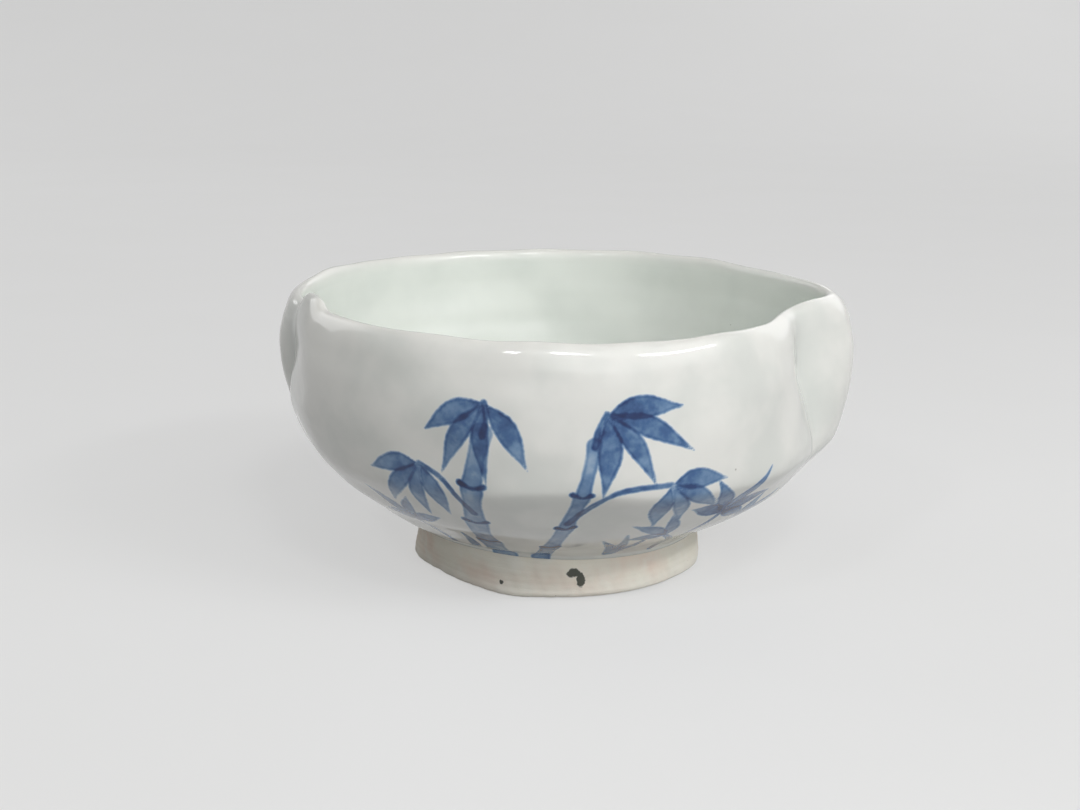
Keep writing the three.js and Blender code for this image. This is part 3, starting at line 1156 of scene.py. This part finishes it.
@dataclass(frozen=True)
class FootRing:
    """Bare foot ring, trimmed with a knife and set on a slightly rough edge."""

    height: float = 8.5
    radius: float = 32.0
    top_radius: float = 30.95
    thickness: float = 6.5
    edge_round: float = 1.1
    meridians: Meridians = Meridians(420, front=1.0, crease=0.0)
    rings: int = 90
    cuts: tuple[KnifeCut, ...] = (
        KnifeCut(-143, 35, 2.2),
        KnifeCut(-76, 26, 0.45),
        KnifeCut(-41, 22, 0.7),
        KnifeCut(10, 30, 0.5),
        KnifeCut(70, 28, 0.6),
        KnifeCut(130, 30, 0.5),
    )
    grain: Ripples = Ripples(seed=31, shortest=2.2, longest=6.0, depth=0.045, waves=26)
    lumps: Ripples = Ripples(seed=37, shortest=9.0, longest=24.0, depth=0.11)
    chatter_depth: float = 0.03
    chatter_pitch: float = 1.3
    smooth_top: float = 6.8
    seat_rise: float = 2.0
    dabs: tuple[Dab, ...] = (
        Dab(-84.5, 5.6, 1.5, 0.9),
        Dab(-81.8, 4.1, 0.9, 1.6),
        Dab(-112.0, 3.0, 0.6, 0.5),
    )
    dab_depth: float = 2.0
    undabbed: float = -3.0
    # Band of heights over which the painted light on the foot's lower edge fades out.
    painted_light_band: tuple[float, float] = (0.6, 4.6)

    def keys(self) -> list[tuple[float, float]]:
        """Profile from under the outer edge, up the outside, over the top and back.

        Returns:
            Key points, each a radius and a height.
        """
        outer, top = self.radius, self.top_radius
        inner, shelf = outer - self.thickness, top - self.thickness
        return [
            (outer - 1.5, 0.0), (outer - 0.75, 0.1), (outer - 0.22, 0.42), (outer, self.edge_round),
            (outer - 0.18, 2.4), (outer - 0.48, 4.2), (outer - 0.85, 6.6),
            (top, self.height - 0.35), (top - 0.35, self.height),
            (shelf + 0.4, self.height), (shelf, self.height - 0.4),
            (inner - 0.7, 5.0), (inner - 0.1, 1.6), (inner + 0.2, 0.7), (inner + 0.8, 0.2),
            (inner + 1.7, 0.0),
        ]

    def cut_depth(self, azimuth: Array) -> Array:
        """Depth of the knife cuts round the foot, each a squared arch over its width.

        Args:
            azimuth: Azimuth grid of the ring.

        Returns:
            Depth at each place, which the lower edge takes whole.
        """
        depth = np.zeros(azimuth.shape)
        for cut in self.cuts:
            share = degrees_from(cut.azimuth, azimuth) / cut.half_width
            depth = depth + cut.depth * np.maximum(0.0, 1 - share**2) ** 2
        return depth

    def skin(self) -> Skin:
        """The ring as a closed shell: its profile turned round the axis, then roughened.

        Knife cuts move the outer side in, most at the lower edge. Grain, lumps and the knife's
        chatter, a sine of the height, roughen both sides. Two waves round the ring lift the
        resting edge, and the top follows the glaze line.

        Returns:
            The skin, set down so that its lowest point is at height zero.
        """
        azimuths = self.meridians.azimuths()
        keys = self.keys()
        course = curved([*keys, keys[0]], self.rings + 1)[:-1]
        radius, azimuth, height = sunk(course, azimuths, np.zeros((self.rings, len(azimuths))))
        outward = np.clip((radius - (self.radius - self.thickness)) / self.thickness, 0.0, 1.0)
        below_top = 1 - smoothstep(height, self.smooth_top, self.height)
        round_place = in_space(radius, azimuth, height)
        rough = (self.grain.at(round_place) + self.lumps.at(round_place)) * below_top
        turns = 2 * math.pi * height / self.chatter_pitch + 2.0 * np.sin(3.0 * azimuth)
        chatter = self.chatter_depth * np.sin(turns) * below_top
        side = np.where(radius > self.radius - 0.5 * self.thickness, 1.0, -1.0)
        cut = self.cut_depth(azimuth) * outward * (1 - height / self.height)
        radius = radius - cut + side * (rough + chatter)
        lift = 0.1 + 0.07 * np.sin(5 * azimuth + 1.0) + 0.05 * np.sin(11 * azimuth)
        uneven = lift - lift.min() + 0.4 * np.abs(rough)
        seat = (1 - smoothstep(height, 0.0, self.seat_rise)) * uneven
        rise = glaze_line(azimuth) * smoothstep(height, 5.0, self.height) * outward
        grid = in_space(radius, azimuth, height + rise + seat)
        grid[..., 2] -= grid[..., 2].min()
        # Painted light: the "low" value makes the foot's lower edge paler, as if lit while its top
        # lies in the bowl's shade.
        low = 1 - smoothstep(height, *self.painted_light_band)
        values = {"dab_edge": self.dabbed(azimuth, height, radius), "low": low}
        return Skin("bare_foot", grid, Closure.LOOP, values)

    def dabbed(self, azimuth: Array, height: Array, radius: Array) -> Array:
        """Distance inside the nearest dab of pigment, each an ellipse on the outer side.

        Args:
            azimuth: Azimuth grid of the ring.
            height: Height grid.
            radius: Radius grid.

        Returns:
            Distances in mm, below zero outside the dabs.
        """
        edge = np.full(radius.shape, self.undabbed)
        for dab in self.dabs:
            across = turned(azimuth - math.radians(dab.azimuth)) * radius / dab.half_width
            along = (height - dab.height) / dab.half_height
            inside = (1 - np.hypot(across, along)) * min(dab.half_width, dab.half_height)
            outer = radius > self.radius - self.dab_depth
            edge = np.maximum(edge, np.where(outer, inside, edge))
        return edge


@dataclass(frozen=True)
class ClayBody:
    """Clay under the glazes. Only its trimmed underside, inside the foot ring, is bare."""

    bowl: RoundBowl = RoundBowl()
    shaping: HandShaping = HandShaping()
    meridians: Meridians = Meridians(240, front=0.5)
    seat_depth: float = 1.6
    seat_run: float = 8.0
    lip_depth: float = 1.2
    lip_band: tuple[float, float] = (50.0, 56.0)
    wall_depth: float = 1.9
    sag: float = 1.0
    sag_radius: float = 24.5
    seat_radius: float = 30.5
    nub_radii: tuple[float, float] = (0.4, 2.6)
    nub_height: float = 0.7
    groove_pitch: float = 2.3
    groove_depth: float = 0.09
    groove_start: tuple[float, float] = (2.6, 5.0)
    groove_end: tuple[float, float] = (22.0, 24.0)
    underside_rings: int = 70
    wall_rings: int = 60
    lip_rings: int = 18
    lining_rings: int = 40

    def underside(self, azimuths: Array) -> Array:
        """Trimmed recess: a shallow cone with the knife's spiral and a nub in the middle.

        Args:
            azimuths: Azimuth of each meridian.

        Returns:
            Grids of radius, azimuth and height.
        """
        radius = np.linspace(0.0, self.seat_radius, self.underside_rings)[:, None]
        level = WALL_FOOT[1] - self.sag * (1 - np.clip(radius / self.sag_radius, 0.0, 1.0))
        spiral = np.cos(2 * math.pi * radius / self.groove_pitch - azimuths[None, :])
        fade = smoothstep(radius, *self.groove_start) * (1 - smoothstep(radius, *self.groove_end))
        nub = self.nub_height * (1 - smoothstep(radius, *self.nub_radii))
        height = level + self.groove_depth * (1 + spiral) * fade - nub
        return np.stack(np.broadcast_arrays(radius, azimuths, height))

    def skin(self) -> Skin:
        """The clay as a closed shell, from the underside's middle round to the floor's.

        Returns:
            The skin.
        """
        azimuths = self.meridians.azimuths()
        wall = even_course(self.bowl.outside(), self.wall_rings)
        lip = even_course(self.bowl.rim(), self.lip_rings)[1:]
        liner = even_course(self.bowl.inside(0.0), self.lining_rings)[1:]
        course = np.vstack([wall, lip, liner])
        on_wall = np.arange(len(course)) < len(wall)
        outside = on_wall * (1 - smoothstep(course[:, 1], *self.lip_band))
        depth = self.lip_depth + (self.wall_depth - self.lip_depth) * outside
        seated = smoothstep(lengths_along(course), 0.0, self.seat_run)
        depth = self.seat_depth + (depth - self.seat_depth) * seated
        clay = sunk(course, azimuths, np.broadcast_to(depth[:, None], (len(course), len(azimuths))))
        place = np.concatenate([self.underside(azimuths), clay], axis=1)
        place[0, [0, -1]] = 0.0
        return Skin("clay_body", in_space(*self.shaping.shaped(*place)), Closure.POLES)


# ---------------------------------------------------------------- finishes


def linear(red: float, green: float, blue: float) -> tuple[float, float, float, float]:
    """Screen colour of 0 to 255 as the linear colour that a shader takes.

    Args:
        red: Red of 0 to 255.
        green: Green of 0 to 255.
        blue: Blue of 0 to 255.

    Returns:
        The linear colour with an alpha of 1.
    """
    share = np.array([red, green, blue]) / 255.0
    light = np.where(share <= 0.04045, share / 12.92, ((share + 0.055) / 1.055) ** 2.4)
    return (*light.tolist(), 1.0)


class Finish:
    """Node graph of one material. Sizes and heights are given in millimetres."""

    def __init__(self, name: str) -> None:
        """Start a material with object coordinates in millimetres and a plain output.

        Args:
            name: Name of the material.
        """
        self.material = bpy.data.materials.new(name)
        self.material.use_nodes = True
        self.nodes = self.material.node_tree.nodes
        self.links = self.material.node_tree.links
        self.nodes.clear()
        self.output = self.nodes.new("ShaderNodeOutputMaterial")
        self.shader = self.nodes.new("ShaderNodeBsdfPrincipled")
        self.links.new(self.shader.outputs["BSDF"], self.output.inputs["Surface"])
        coordinates = self.nodes.new("ShaderNodeTexCoord")
        mapping = self.nodes.new("ShaderNodeMapping")
        mapping.inputs["Scale"].default_value = (1 / MM, 1 / MM, 1 / MM)
        self.links.new(coordinates.outputs["Object"], mapping.inputs["Vector"])
        self.place = mapping.outputs["Vector"]

    def feed(self, socket: Socket, value: Socket | float | Colour) -> None:
        """Link a socket, or set its number.

        Args:
            socket: Input that is fed.
            value: Output to link to it, or a number or colour to set.
        """
        if isinstance(value, bpy.types.NodeSocket):
            self.links.new(value, socket)
        else:
            socket.default_value = value

    def math(self, operation: str, *values: Socket | float, clamp: bool = False) -> Socket:
        """One arithmetic step.

        Args:
            operation: Name of the node's operation.
            values: Its inputs in order.
            clamp: Whether the result is kept between 0 and 1.

        Returns:
            The result.
        """
        node = self.nodes.new("ShaderNodeMath")
        node.operation = operation
        node.use_clamp = clamp
        for socket, value in zip(node.inputs, values):
            self.feed(socket, value)
        return node.outputs["Value"]

    def attribute(self, name: str) -> Socket:
        """A value that the skin carries at its vertices.

        Args:
            name: Name of the attribute.

        Returns:
            Its value, or 0 on a skin without it.
        """
        node = self.nodes.new("ShaderNodeAttribute")
        node.attribute_name = name
        return node.outputs["Fac"]

    def noise(self, size: float, detail: float = 2.0, stretch: Point = (1.0, 1.0, 1.0)) -> Socket:
        """Soft noise from 0 to 1 about 0.5, with features of a size.

        Args:
            size: Size of a feature in millimetres.
            detail: Number of finer layers.
            stretch: Factor on the frequency along each turned axis.

        Returns:
            The noise.
        """
        mapping = self.nodes.new("ShaderNodeMapping")
        mapping.inputs["Rotation"].default_value = (0.62, 0.47, 0.35)
        mapping.inputs["Scale"].default_value = tuple(part / size for part in stretch)
        self.links.new(self.place, mapping.inputs["Vector"])
        node = self.nodes.new("ShaderNodeTexNoise")
        node.inputs["Scale"].default_value = 1.0
        node.inputs["Detail"].default_value = detail
        self.links.new(mapping.outputs["Vector"], node.inputs["Vector"])
        return node.outputs["Fac"]

    def step(
        self, value: Socket, start: float, end: float, low: float = 0.0, high: float = 1.0
    ) -> Socket:
        """Smooth rise between two values, from a low number to a high one.

        Args:
            value: Value that is looked at.
            start: Value at which the rise starts.
            end: Value at which it ends.
            low: Number before the rise.
            high: Number after it.

        Returns:
            Number between the low and the high one.
        """
        node = self.nodes.new("ShaderNodeMapRange")
        node.interpolation_type = "SMOOTHSTEP"
        limits = {"From Min": start, "From Max": end, "To Min": low, "To Max": high}
        for name, number in limits.items():
            node.inputs[name].default_value = number
        self.links.new(value, node.inputs["Value"])
        return node.outputs["Result"]

    def dots(self, spacing: float, radius: float, chance: float) -> Socket:
        """Scattered round dots: near a cell's point, in a share of the cells.

        Args:
            spacing: Size of a cell.
            radius: Radius of a dot.
            chance: Share of the cells that hold one.

        Returns:
            A value of 1 in a dot and 0 outside.
        """
        node = self.nodes.new("ShaderNodeTexVoronoi")
        node.inputs["Scale"].default_value = 1.0 / spacing
        self.links.new(self.place, node.inputs["Vector"])
        parts = self.nodes.new("ShaderNodeSeparateColor")
        self.links.new(node.outputs["Color"], parts.inputs["Color"])
        spot = self.step(node.outputs["Distance"], radius / spacing, 0.35 * radius / spacing)
        return self.math("MULTIPLY", spot, self.math("LESS_THAN", parts.outputs["Red"], chance))

    def specks(self, small: Dots, large: Dots) -> Socket:
        """Dots of two sorts in one value."""
        return self.math("MAXIMUM", self.dots(*small), self.dots(*large))

    def mix(self, share: Socket | float, first: Socket | Colour, second: Socket | Colour) -> Socket:
        """Colour between two colours.

        Args:
            share: Share of the second colour.
            first: Colour at a share of 0.
            second: Colour at a share of 1.

        Returns:
            The colour between them.
        """
        node = self.nodes.new("ShaderNodeMix")
        node.data_type = "RGBA"
        self.feed(node.inputs["Factor"], share)
        self.feed(node.inputs[6], first)
        self.feed(node.inputs[7], second)
        return node.outputs[2]

    def tinted(self, ground: Socket, colour: Colour, share: Socket, most: float = 1.0) -> Socket:
        """Colour turned towards a screen colour by a share, times the most that it may be.

        Args:
            ground: Colour to start from.
            colour: Screen colour of 0 to 255.
            share: Share from 0 to 1.
            most: Strength of the whole tint.

        Returns:
            Colour between the two.
        """
        if most < 1.0:
            share = self.math("MULTIPLY", share, most)
        return self.mix(share, ground, linear(*colour))

    def ramp(self, value: Socket, stops: list[tuple[float, tuple[float, ...]]]) -> Socket:
        """Colour from a row of stops.

        Args:
            value: Place on the row, from 0 to 1.
            stops: Place and linear colour of each stop.

        Returns:
            The colour at the place.
        """
        node = self.nodes.new("ShaderNodeValToRGB")
        elements = node.color_ramp.elements
        while len(elements) < len(stops):
            elements.new(1.0)
        for element, (place, colour) in zip(elements, stops):
            element.position = place
            element.color = colour
        self.links.new(value, node.inputs["Fac"])
        return node.outputs["Color"]

    def bump(self, height: Socket) -> None:
        """Relief from a height in millimetres.

        Args:
            height: Height of the relief.
        """
        node = self.nodes.new("ShaderNodeBump")
        node.inputs["Strength"].default_value = 1.0
        node.inputs["Distance"].default_value = MM
        self.links.new(height, node.inputs["Height"])
        self.links.new(node.outputs["Normal"], self.shader.inputs["Normal"])

    def weighted(self, *terms: tuple[Socket, float]) -> Socket:
        """Sum of values, each times its weight.

        Args:
            terms: Pairs of a value and its weight.

        Returns:
            The sum.
        """
        total: Socket | float = 0.0
        for value, weight in terms:
            total = self.math("MULTIPLY_ADD", value, weight, total)
        return total


@dataclass(frozen=True)
class LiningGlaze:
    """Thicker clear glaze inside, cool and a little green where it gathers."""

    base: Colour = (234, 238, 232)
    shade: Colour = (224, 229, 223)
    well: Colour = (212, 220, 213)
    speck: Colour = (126, 120, 104)
    specks: tuple[Dots, Dots] = ((8.0, 0.2, 0.2), (19.0, 0.32, 0.3))
    pinholes: Dots = (5.5, 0.18, 0.2)
    cloud_size: float = 26.0
    well_strength: float = 0.5
    speck_strength: float = 0.5
    relief: float = 0.03
    roughness: tuple[float, float] = (0.16, 0.22)

    def ground(self, finish: Finish) -> Socket:
        """Colour of the lining, which the outer coat takes on inside the rim.

        Args:
            finish: Graph of the material.

        Returns:
            The colour: clouds of two tones, tinted in the well, and specks.
        """
        cloud = finish.step(finish.noise(self.cloud_size, 3.0), 0.36, 0.66)
        ground = finish.mix(cloud, linear(*self.base), linear(*self.shade))
        ground = finish.tinted(ground, self.well, finish.attribute("well"), self.well_strength)
        return finish.tinted(ground, self.speck, finish.specks(*self.specks), self.speck_strength)

    def build(self) -> bpy.types.Material:
        """Make the material.

        Returns:
            The material.
        """
        finish = Finish("lining_glaze")
        finish.feed(finish.shader.inputs["Base Color"], self.ground(finish))
        waves, pinholes = finish.noise(3.8, 1.0), finish.dots(*self.pinholes)
        finish.bump(finish.weighted((waves, self.relief), (pinholes, -self.relief)))
        gloss = finish.step(finish.noise(4.5, 2.0), 0.3, 0.7, *self.roughness)
        finish.feed(finish.shader.inputs["Roughness"], gloss)
        finish.shader.inputs["IOR"].default_value = GLAZE_IOR
        return finish.material


@dataclass(frozen=True)
class PaintedGlaze:
    """Clear glaze on white clay, with blue brushwork under it."""

    base: Colour = (236, 236, 231)
    shade: Colour = (224, 226, 221)
    pool: Colour = (216, 220, 215)
    bare_edge: Colour = (240, 238, 231)
    speck: Colour = (128, 122, 108)
    blues: tuple[tuple[float, Colour], ...] = (
        (0.0, (230, 232, 229)),
        (0.16, (172, 190, 208)),
        (0.36, (113, 146, 182)),
        (0.58, (66, 103, 150)),
        (0.8, (34, 62, 114)),
        (1.0, (17, 33, 78)),
    )
    specks: tuple[Dots, Dots] = ((6.0, 0.2, 0.2), (15.0, 0.34, 0.3))
    pinholes: Dots = (4.2, 0.19, 0.24)
    cloud_size: float = 16.0
    pool_strength: float = 0.7
    edge_strength: float = 0.4
    speck_strength: float = 0.55
    wave_height: float = 0.03
    orange_peel: float = 0.0035
    pinhole_depth: float = 0.035
    edge_noise: float = 0.7
    feather: float = 0.34
    mottle: tuple[float, float] = (0.68, 1.3)
    roughness: tuple[float, float] = (0.075, 0.12)

    def ink(self, finish: Finish, layer: Layer, wander: Socket, tone: Socket) -> Socket:
        """Ink of one layer: its load, mottled, and pooled darker along the stroke's edge.

        Args:
            finish: Graph of the material.
            layer: Layer of brushwork.
            wander: Noise that moves the edge.
            tone: Noise that mottles the ink.

        Returns:
            Ink from 0 to 1.
        """
        edge = finish.attribute(f"{layer.value}_edge")
        load = finish.attribute(f"{layer.value}_load")
        moved = finish.math("MULTIPLY_ADD", wander, self.edge_noise, edge)
        cover = finish.step(moved, -self.feather, self.feather)
        rim = finish.step(moved, 0.8, 0.15, 0.0, 0.12)
        mottled = finish.math("MULTIPLY", load, tone)
        return finish.math("MULTIPLY", finish.math("ADD", mottled, rim), cover, clamp=True)

    def depth(self, finish: Finish, broad: Socket) -> Socket:
        """Depth of the ink of all layers: one less the product of what each lets through.

        Args:
            finish: Graph of the material.
            broad: Noise of broad features, shared with the gloss.

        Returns:
            Depth from 0 to 1.
        """
        mixed = finish.weighted((finish.noise(1.1, 3.0), 0.45), (broad, 0.55))
        wander = finish.math("SUBTRACT", mixed, 0.5)
        mottled = finish.weighted((finish.noise(2.6, 3.0), 0.6), (broad, 0.4))
        tone = finish.step(mottled, 0.3, 0.7, *self.mottle)
        clear: Socket | float = 1.0
        for layer in Layer:
            ink = self.ink(finish, layer, wander, tone)
            clear = finish.math("MULTIPLY", clear, finish.math("SUBTRACT", 1.0, ink))
        return finish.math("SUBTRACT", 1.0, clear)

    def ground(self, finish: Finish) -> Socket:
        """Colour where there is no ink, turning into the lining's inside the rim.

        Args:
            finish: Graph of the material.

        Returns:
            The colour: clouds of two tones, tinted in pools and on the lip, and specks.
        """
        cloud = finish.step(finish.noise(self.cloud_size, 3.0), 0.4, 0.68)
        ground = finish.mix(cloud, linear(*self.base), linear(*self.shade))
        ground = finish.tinted(ground, self.pool, finish.attribute("pool"), self.pool_strength)
        ground = finish.tinted(ground, self.bare_edge, finish.attribute("thin"), self.edge_strength)
        ground = finish.tinted(ground, self.speck, finish.specks(*self.specks), self.speck_strength)
        return finish.mix(finish.attribute("lined"), ground, LiningGlaze().ground(finish))

    def build(self) -> bpy.types.Material:
        """Make the material.

        Returns:
            The material.
        """
        finish = Finish("painted_glaze")
        broad = finish.noise(4.5, 2.0)
        depth = self.depth(finish, broad)
        painted = finish.ramp(depth, [(place, linear(*blue)) for place, blue in self.blues])
        covered = finish.step(depth, 0.0, 0.06)
        colour = finish.mix(covered, self.ground(finish), painted)
        finish.feed(finish.shader.inputs["Base Color"], colour)
        finish.bump(finish.weighted(
            (finish.noise(3.2, 1.0), self.wave_height),
            (finish.noise(0.9, 1.0), self.orange_peel),
            (finish.dots(*self.pinholes), -self.pinhole_depth),
        ))
        gloss = finish.step(broad, 0.3, 0.7, *self.roughness)
        finish.feed(finish.shader.inputs["Roughness"], gloss)
        finish.shader.inputs["IOR"].default_value = GLAZE_IOR
        return finish.material


@dataclass(frozen=True)
class BareClay:
    """Unglazed clay of the foot: cream, lighter than the body's clay as painted light against the
    shade under the bowl, flushed pink by the fire, with grain and specks.
    """

    name: str = "bare_foot_clay"
    # Painted light: the foot's cream and flush are lighter than the body's clay of the same kind,
    # to make up for the shade the foot lies in under the bowl.
    cream: Colour = (243, 239, 225)
    flush: Colour = (238, 217, 202)
    pale: Colour = (246, 243, 232)
    speck: Colour = (132, 112, 92)
    dab: Colour = (46, 54, 46)
    specks: tuple[Dots, Dots] = ((2.6, 0.14, 0.2), (7.0, 0.28, 0.28))
    pores: Dots = (1.5, 0.13, 0.35)
    painted_light_strength: float = 0.65
    speck_strength: float = 0.6
    dab_wander: float = 1.1
    roughness: float = 0.82
    has_dabs: bool = True

    def ground(self, finish: Finish, grain: Socket) -> Socket:
        """Colour of the clay: flushed and pale patches, a lower edge painted paler as painted
        light, grain, specks and dabs of pigment.

        Args:
            finish: Graph of the material.
            grain: Noise of the clay's grain.

        Returns:
            The colour.
        """
        flushed = finish.step(finish.noise(13.0, 3.0), 0.42, 0.68, 0.0, 0.75)
        ground = finish.mix(flushed, linear(*self.cream), linear(*self.flush))
        faded = finish.step(finish.noise(5.0, 4.0), 0.48, 0.72, 0.0, 0.7)
        ground = finish.tinted(ground, self.pale, faded)
        # Painted light: the lower edge is tinted pale, as if lit while the foot's top lies in the
        # bowl's shade.
        ground = finish.tinted(ground, self.pale, finish.attribute("low"), self.painted_light_strength)
        ground = finish.tinted(ground, self.flush, finish.step(grain, 0.55, 0.8, 0.0, 0.3))
        ground = finish.tinted(ground, self.speck, finish.specks(*self.specks), self.speck_strength)
        if self.has_dabs:
            wander = finish.math("SUBTRACT", finish.noise(1.2, 3.0), 0.5)
            inside = finish.attribute("dab_edge")
            edge = finish.math("MULTIPLY_ADD", wander, self.dab_wander, inside)
            ground = finish.tinted(ground, self.dab, finish.step(edge, -0.08, 0.12, 0.0, 0.92))
        return ground

    def build(self) -> bpy.types.Material:
        """Make the material.

        Returns:
            The material.
        """
        finish = Finish(self.name)
        grain = finish.noise(0.55, 3.0, (1.0, 1.0, 1.6))
        finish.feed(finish.shader.inputs["Base Color"], self.ground(finish, grain))
        turning = finish.noise(1.2, 2.0, (0.25, 0.25, 2.4))
        lumps, pores = finish.noise(2.6, 2.0), finish.dots(*self.pores)
        finish.bump(finish.weighted((grain, 0.03), (turning, 0.05), (lumps, 0.05), (pores, -0.07)))
        finish.shader.inputs["Roughness"].default_value = self.roughness
        return finish.material


# ---------------------------------------------------------------- studio


@dataclass(frozen=True)
class SoftLight:
    """A square or oblong area light that faces a target."""

    name: str
    place: Point
    size: tuple[float, float]
    power: float
    target: Point = (0.0, 0.0, 0.03)

    def build(self) -> None:
        """Make the light and turn it to its target."""
        light = bpy.data.lights.new(self.name, "AREA")
        light.shape = "RECTANGLE"
        light.size, light.size_y = self.size
        light.energy = self.power
        lamp = bpy.data.objects.new(self.name, light)
        aim = np.array(self.target) - np.array(self.place)
        flat = math.hypot(aim[0], aim[1])
        lamp.location = self.place
        lamp.rotation_euler = (math.atan2(flat, -aim[2]), 0.0, math.atan2(-aim[0], aim[1]))
        bpy.context.scene.collection.objects.link(lamp)


@dataclass(frozen=True)
class Studio:
    """Camera of the photograph, soft lights, and a pale floor that curves up behind."""

    eye: Point = (-0.005736, -0.344923, 0.1188)
    pitch: float = 13.95
    focal_pixels: float = 1600.0
    image_width: float = 1080.0
    sensor: float = 36.0
    floor_half: float = 15.0
    wall_top: float = 3.0
    bend_start: float = 1.0
    bend_radius: float = 0.8
    floor_tone: float = 0.74
    bounce_tone: float = 0.34
    glow: float = 0.5
    world_level: float = 0.185
    lights: tuple[SoftLight, ...] = (
        SoftLight("key", (0.54, -0.76, 0.64), (1.5, 1.15), 6.7),
        SoftLight("window_left", (-0.255, -0.43, 0.487), (0.07, 0.06), 0.34),
        SoftLight("window_middle", (0.105, -0.462, 0.51), (0.11, 0.06), 0.5),
        SoftLight("window_right", (0.43, -0.355, 0.42), (0.24, 0.045), 0.9),
        SoftLight("back_fill", (-1.05, 0.75, 0.75), (1.1, 0.8), 4.0),
        SoftLight("rear_fill", (0.75, 1.2, 0.6), (1.2, 0.8), 2.9),
        SoftLight("low_fill", (0.3, -1.4, 0.25), (1.4, 0.5), 1.6),
    )

    def camera(self) -> None:
        """Camera with the photograph's place, pitch and angle of view."""
        lens = bpy.data.cameras.new("camera")
        lens.sensor_width = self.sensor
        lens.lens = self.focal_pixels * self.sensor / self.image_width
        lens.clip_start = 0.01
        camera = bpy.data.objects.new("camera", lens)
        camera.location = self.eye
        camera.rotation_euler = (math.radians(90.0 - self.pitch), 0.0, 0.0)
        bpy.context.scene.collection.objects.link(camera)
        bpy.context.scene.camera = camera

    def floor(self) -> None:
        """Floor swept sideways from one profile: level, a quarter circle, then upright."""
        angle = np.linspace(0.0, math.pi / 2, 25)
        bend = np.stack([
            self.bend_start + self.bend_radius * np.sin(angle),
            self.bend_radius * (1 - np.cos(angle)),
        ], axis=1)
        profile = np.vstack([[-self.floor_half, 0.0], bend, [bend[-1, 0], self.wall_top]])
        across = np.linspace(-self.floor_half, self.floor_half, 9)
        x, y = np.meshgrid(across, profile[:, 0])
        z = np.broadcast_to(profile[:, 1:], x.shape)
        low = np.arange(len(profile) - 1)[:, None] * len(across) + np.arange(len(across) - 1)
        quads = np.stack([low, low + 1, low + len(across) + 1, low + len(across)], axis=-1)
        corners = np.stack([x, y, z], axis=-1).reshape(-1, 3)
        mesh = bpy.data.meshes.new("floor")
        mesh.from_pydata(corners.tolist(), [], quads.reshape(-1, 4).tolist())
        mesh.shade_smooth()
        mesh.materials.append(self.floor_finish())
        floor = bpy.data.objects.new("floor", mesh)
        bpy.context.scene.collection.objects.link(floor)

    def floor_finish(self) -> bpy.types.Material:
        """Matte pale surface that glows a little for the camera and for reflections.

        Returns:
            The material.
        """
        finish = Finish("floor")
        tone, bounce = self.floor_tone, self.bounce_tone
        warm = (0.985 * tone, 0.985 * tone, 0.98 * tone, 1.0)
        path = finish.nodes.new("ShaderNodeLightPath")
        seen = path.outputs["Is Camera Ray"]
        for kind in ("Is Glossy Ray", "Is Transmission Ray"):
            seen = finish.math("MAXIMUM", seen, path.outputs[kind])
        speckle = finish.step(finish.noise(60.0, 2.0), 0.3, 0.7)
        colour = finish.mix(speckle, (tone, tone, tone, 1.0), warm)
        colour = finish.mix(seen, (bounce, bounce, bounce, 1.0), colour)
        finish.feed(finish.shader.inputs["Base Color"], colour)
        finish.shader.inputs["Roughness"].default_value = 0.9
        finish.shader.inputs["Specular IOR Level"].default_value = 0.1
        glow = finish.nodes.new("ShaderNodeEmission")
        glow.inputs["Color"].default_value = (0.93, 0.93, 0.925, 1.0)
        blend = finish.nodes.new("ShaderNodeMixShader")
        finish.links.new(finish.math("MULTIPLY", seen, self.glow), blend.inputs["Fac"])
        finish.links.new(finish.shader.outputs["BSDF"], blend.inputs[1])
        finish.links.new(glow.outputs["Emission"], blend.inputs[2])
        finish.links.new(blend.outputs["Shader"], finish.output.inputs["Surface"])
        return finish.material

    def build(self) -> None:
        """Set up camera, floor, world and lights."""
        self.camera()
        self.floor()
        world = bpy.data.worlds.new("studio")
        world.use_nodes = True
        sky = world.node_tree.nodes["Background"]
        sky.inputs["Color"].default_value = (1.0, 1.0, 1.0, 1.0)
        sky.inputs["Strength"].default_value = self.world_level
        bpy.context.scene.world = world
        for light in self.lights:
            light.build()
        bpy.context.scene.view_settings.view_transform = "Standard"


# ---------------------------------------------------------------- the whole bowl


@dataclass(frozen=True)
class TeaBowl:
    """The four layers of the bowl, each in place of its CAD node."""

    outside: OuterCoat = OuterCoat()
    lining: Lining = Lining()
    foot: FootRing = FootRing()
    body: ClayBody = ClayBody()
    # The body's clay keeps the darker tones. The foot's lighter ones are painted light against the
    # shade under the bowl.
    body_clay: BareClay = BareClay(
        "bare_body_clay", cream=(231, 224, 212), flush=(224, 207, 191), has_dabs=False
    )

    def build(self) -> None:
        """Make each layer with its finish."""
        self.outside.skin().build(PaintedGlaze().build(), "outer_glaze", "outer_glaze")
        self.lining.skin().build(LiningGlaze().build(), "inner_glaze", "inner_glaze")
        self.foot.skin().build(BareClay().build(), "bare_foot_clay", "foot_ring")
        self.body.skin().build(self.body_clay.build(), "white_clay", "bowl_body")


def main() -> None:
    """Build the bowl and the studio."""
    logging.basicConfig(level=logging.INFO, format="%(name)s %(message)s")
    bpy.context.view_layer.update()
    TeaBowl().build()
    Studio().build()


if __name__ == "__main__":
    main()
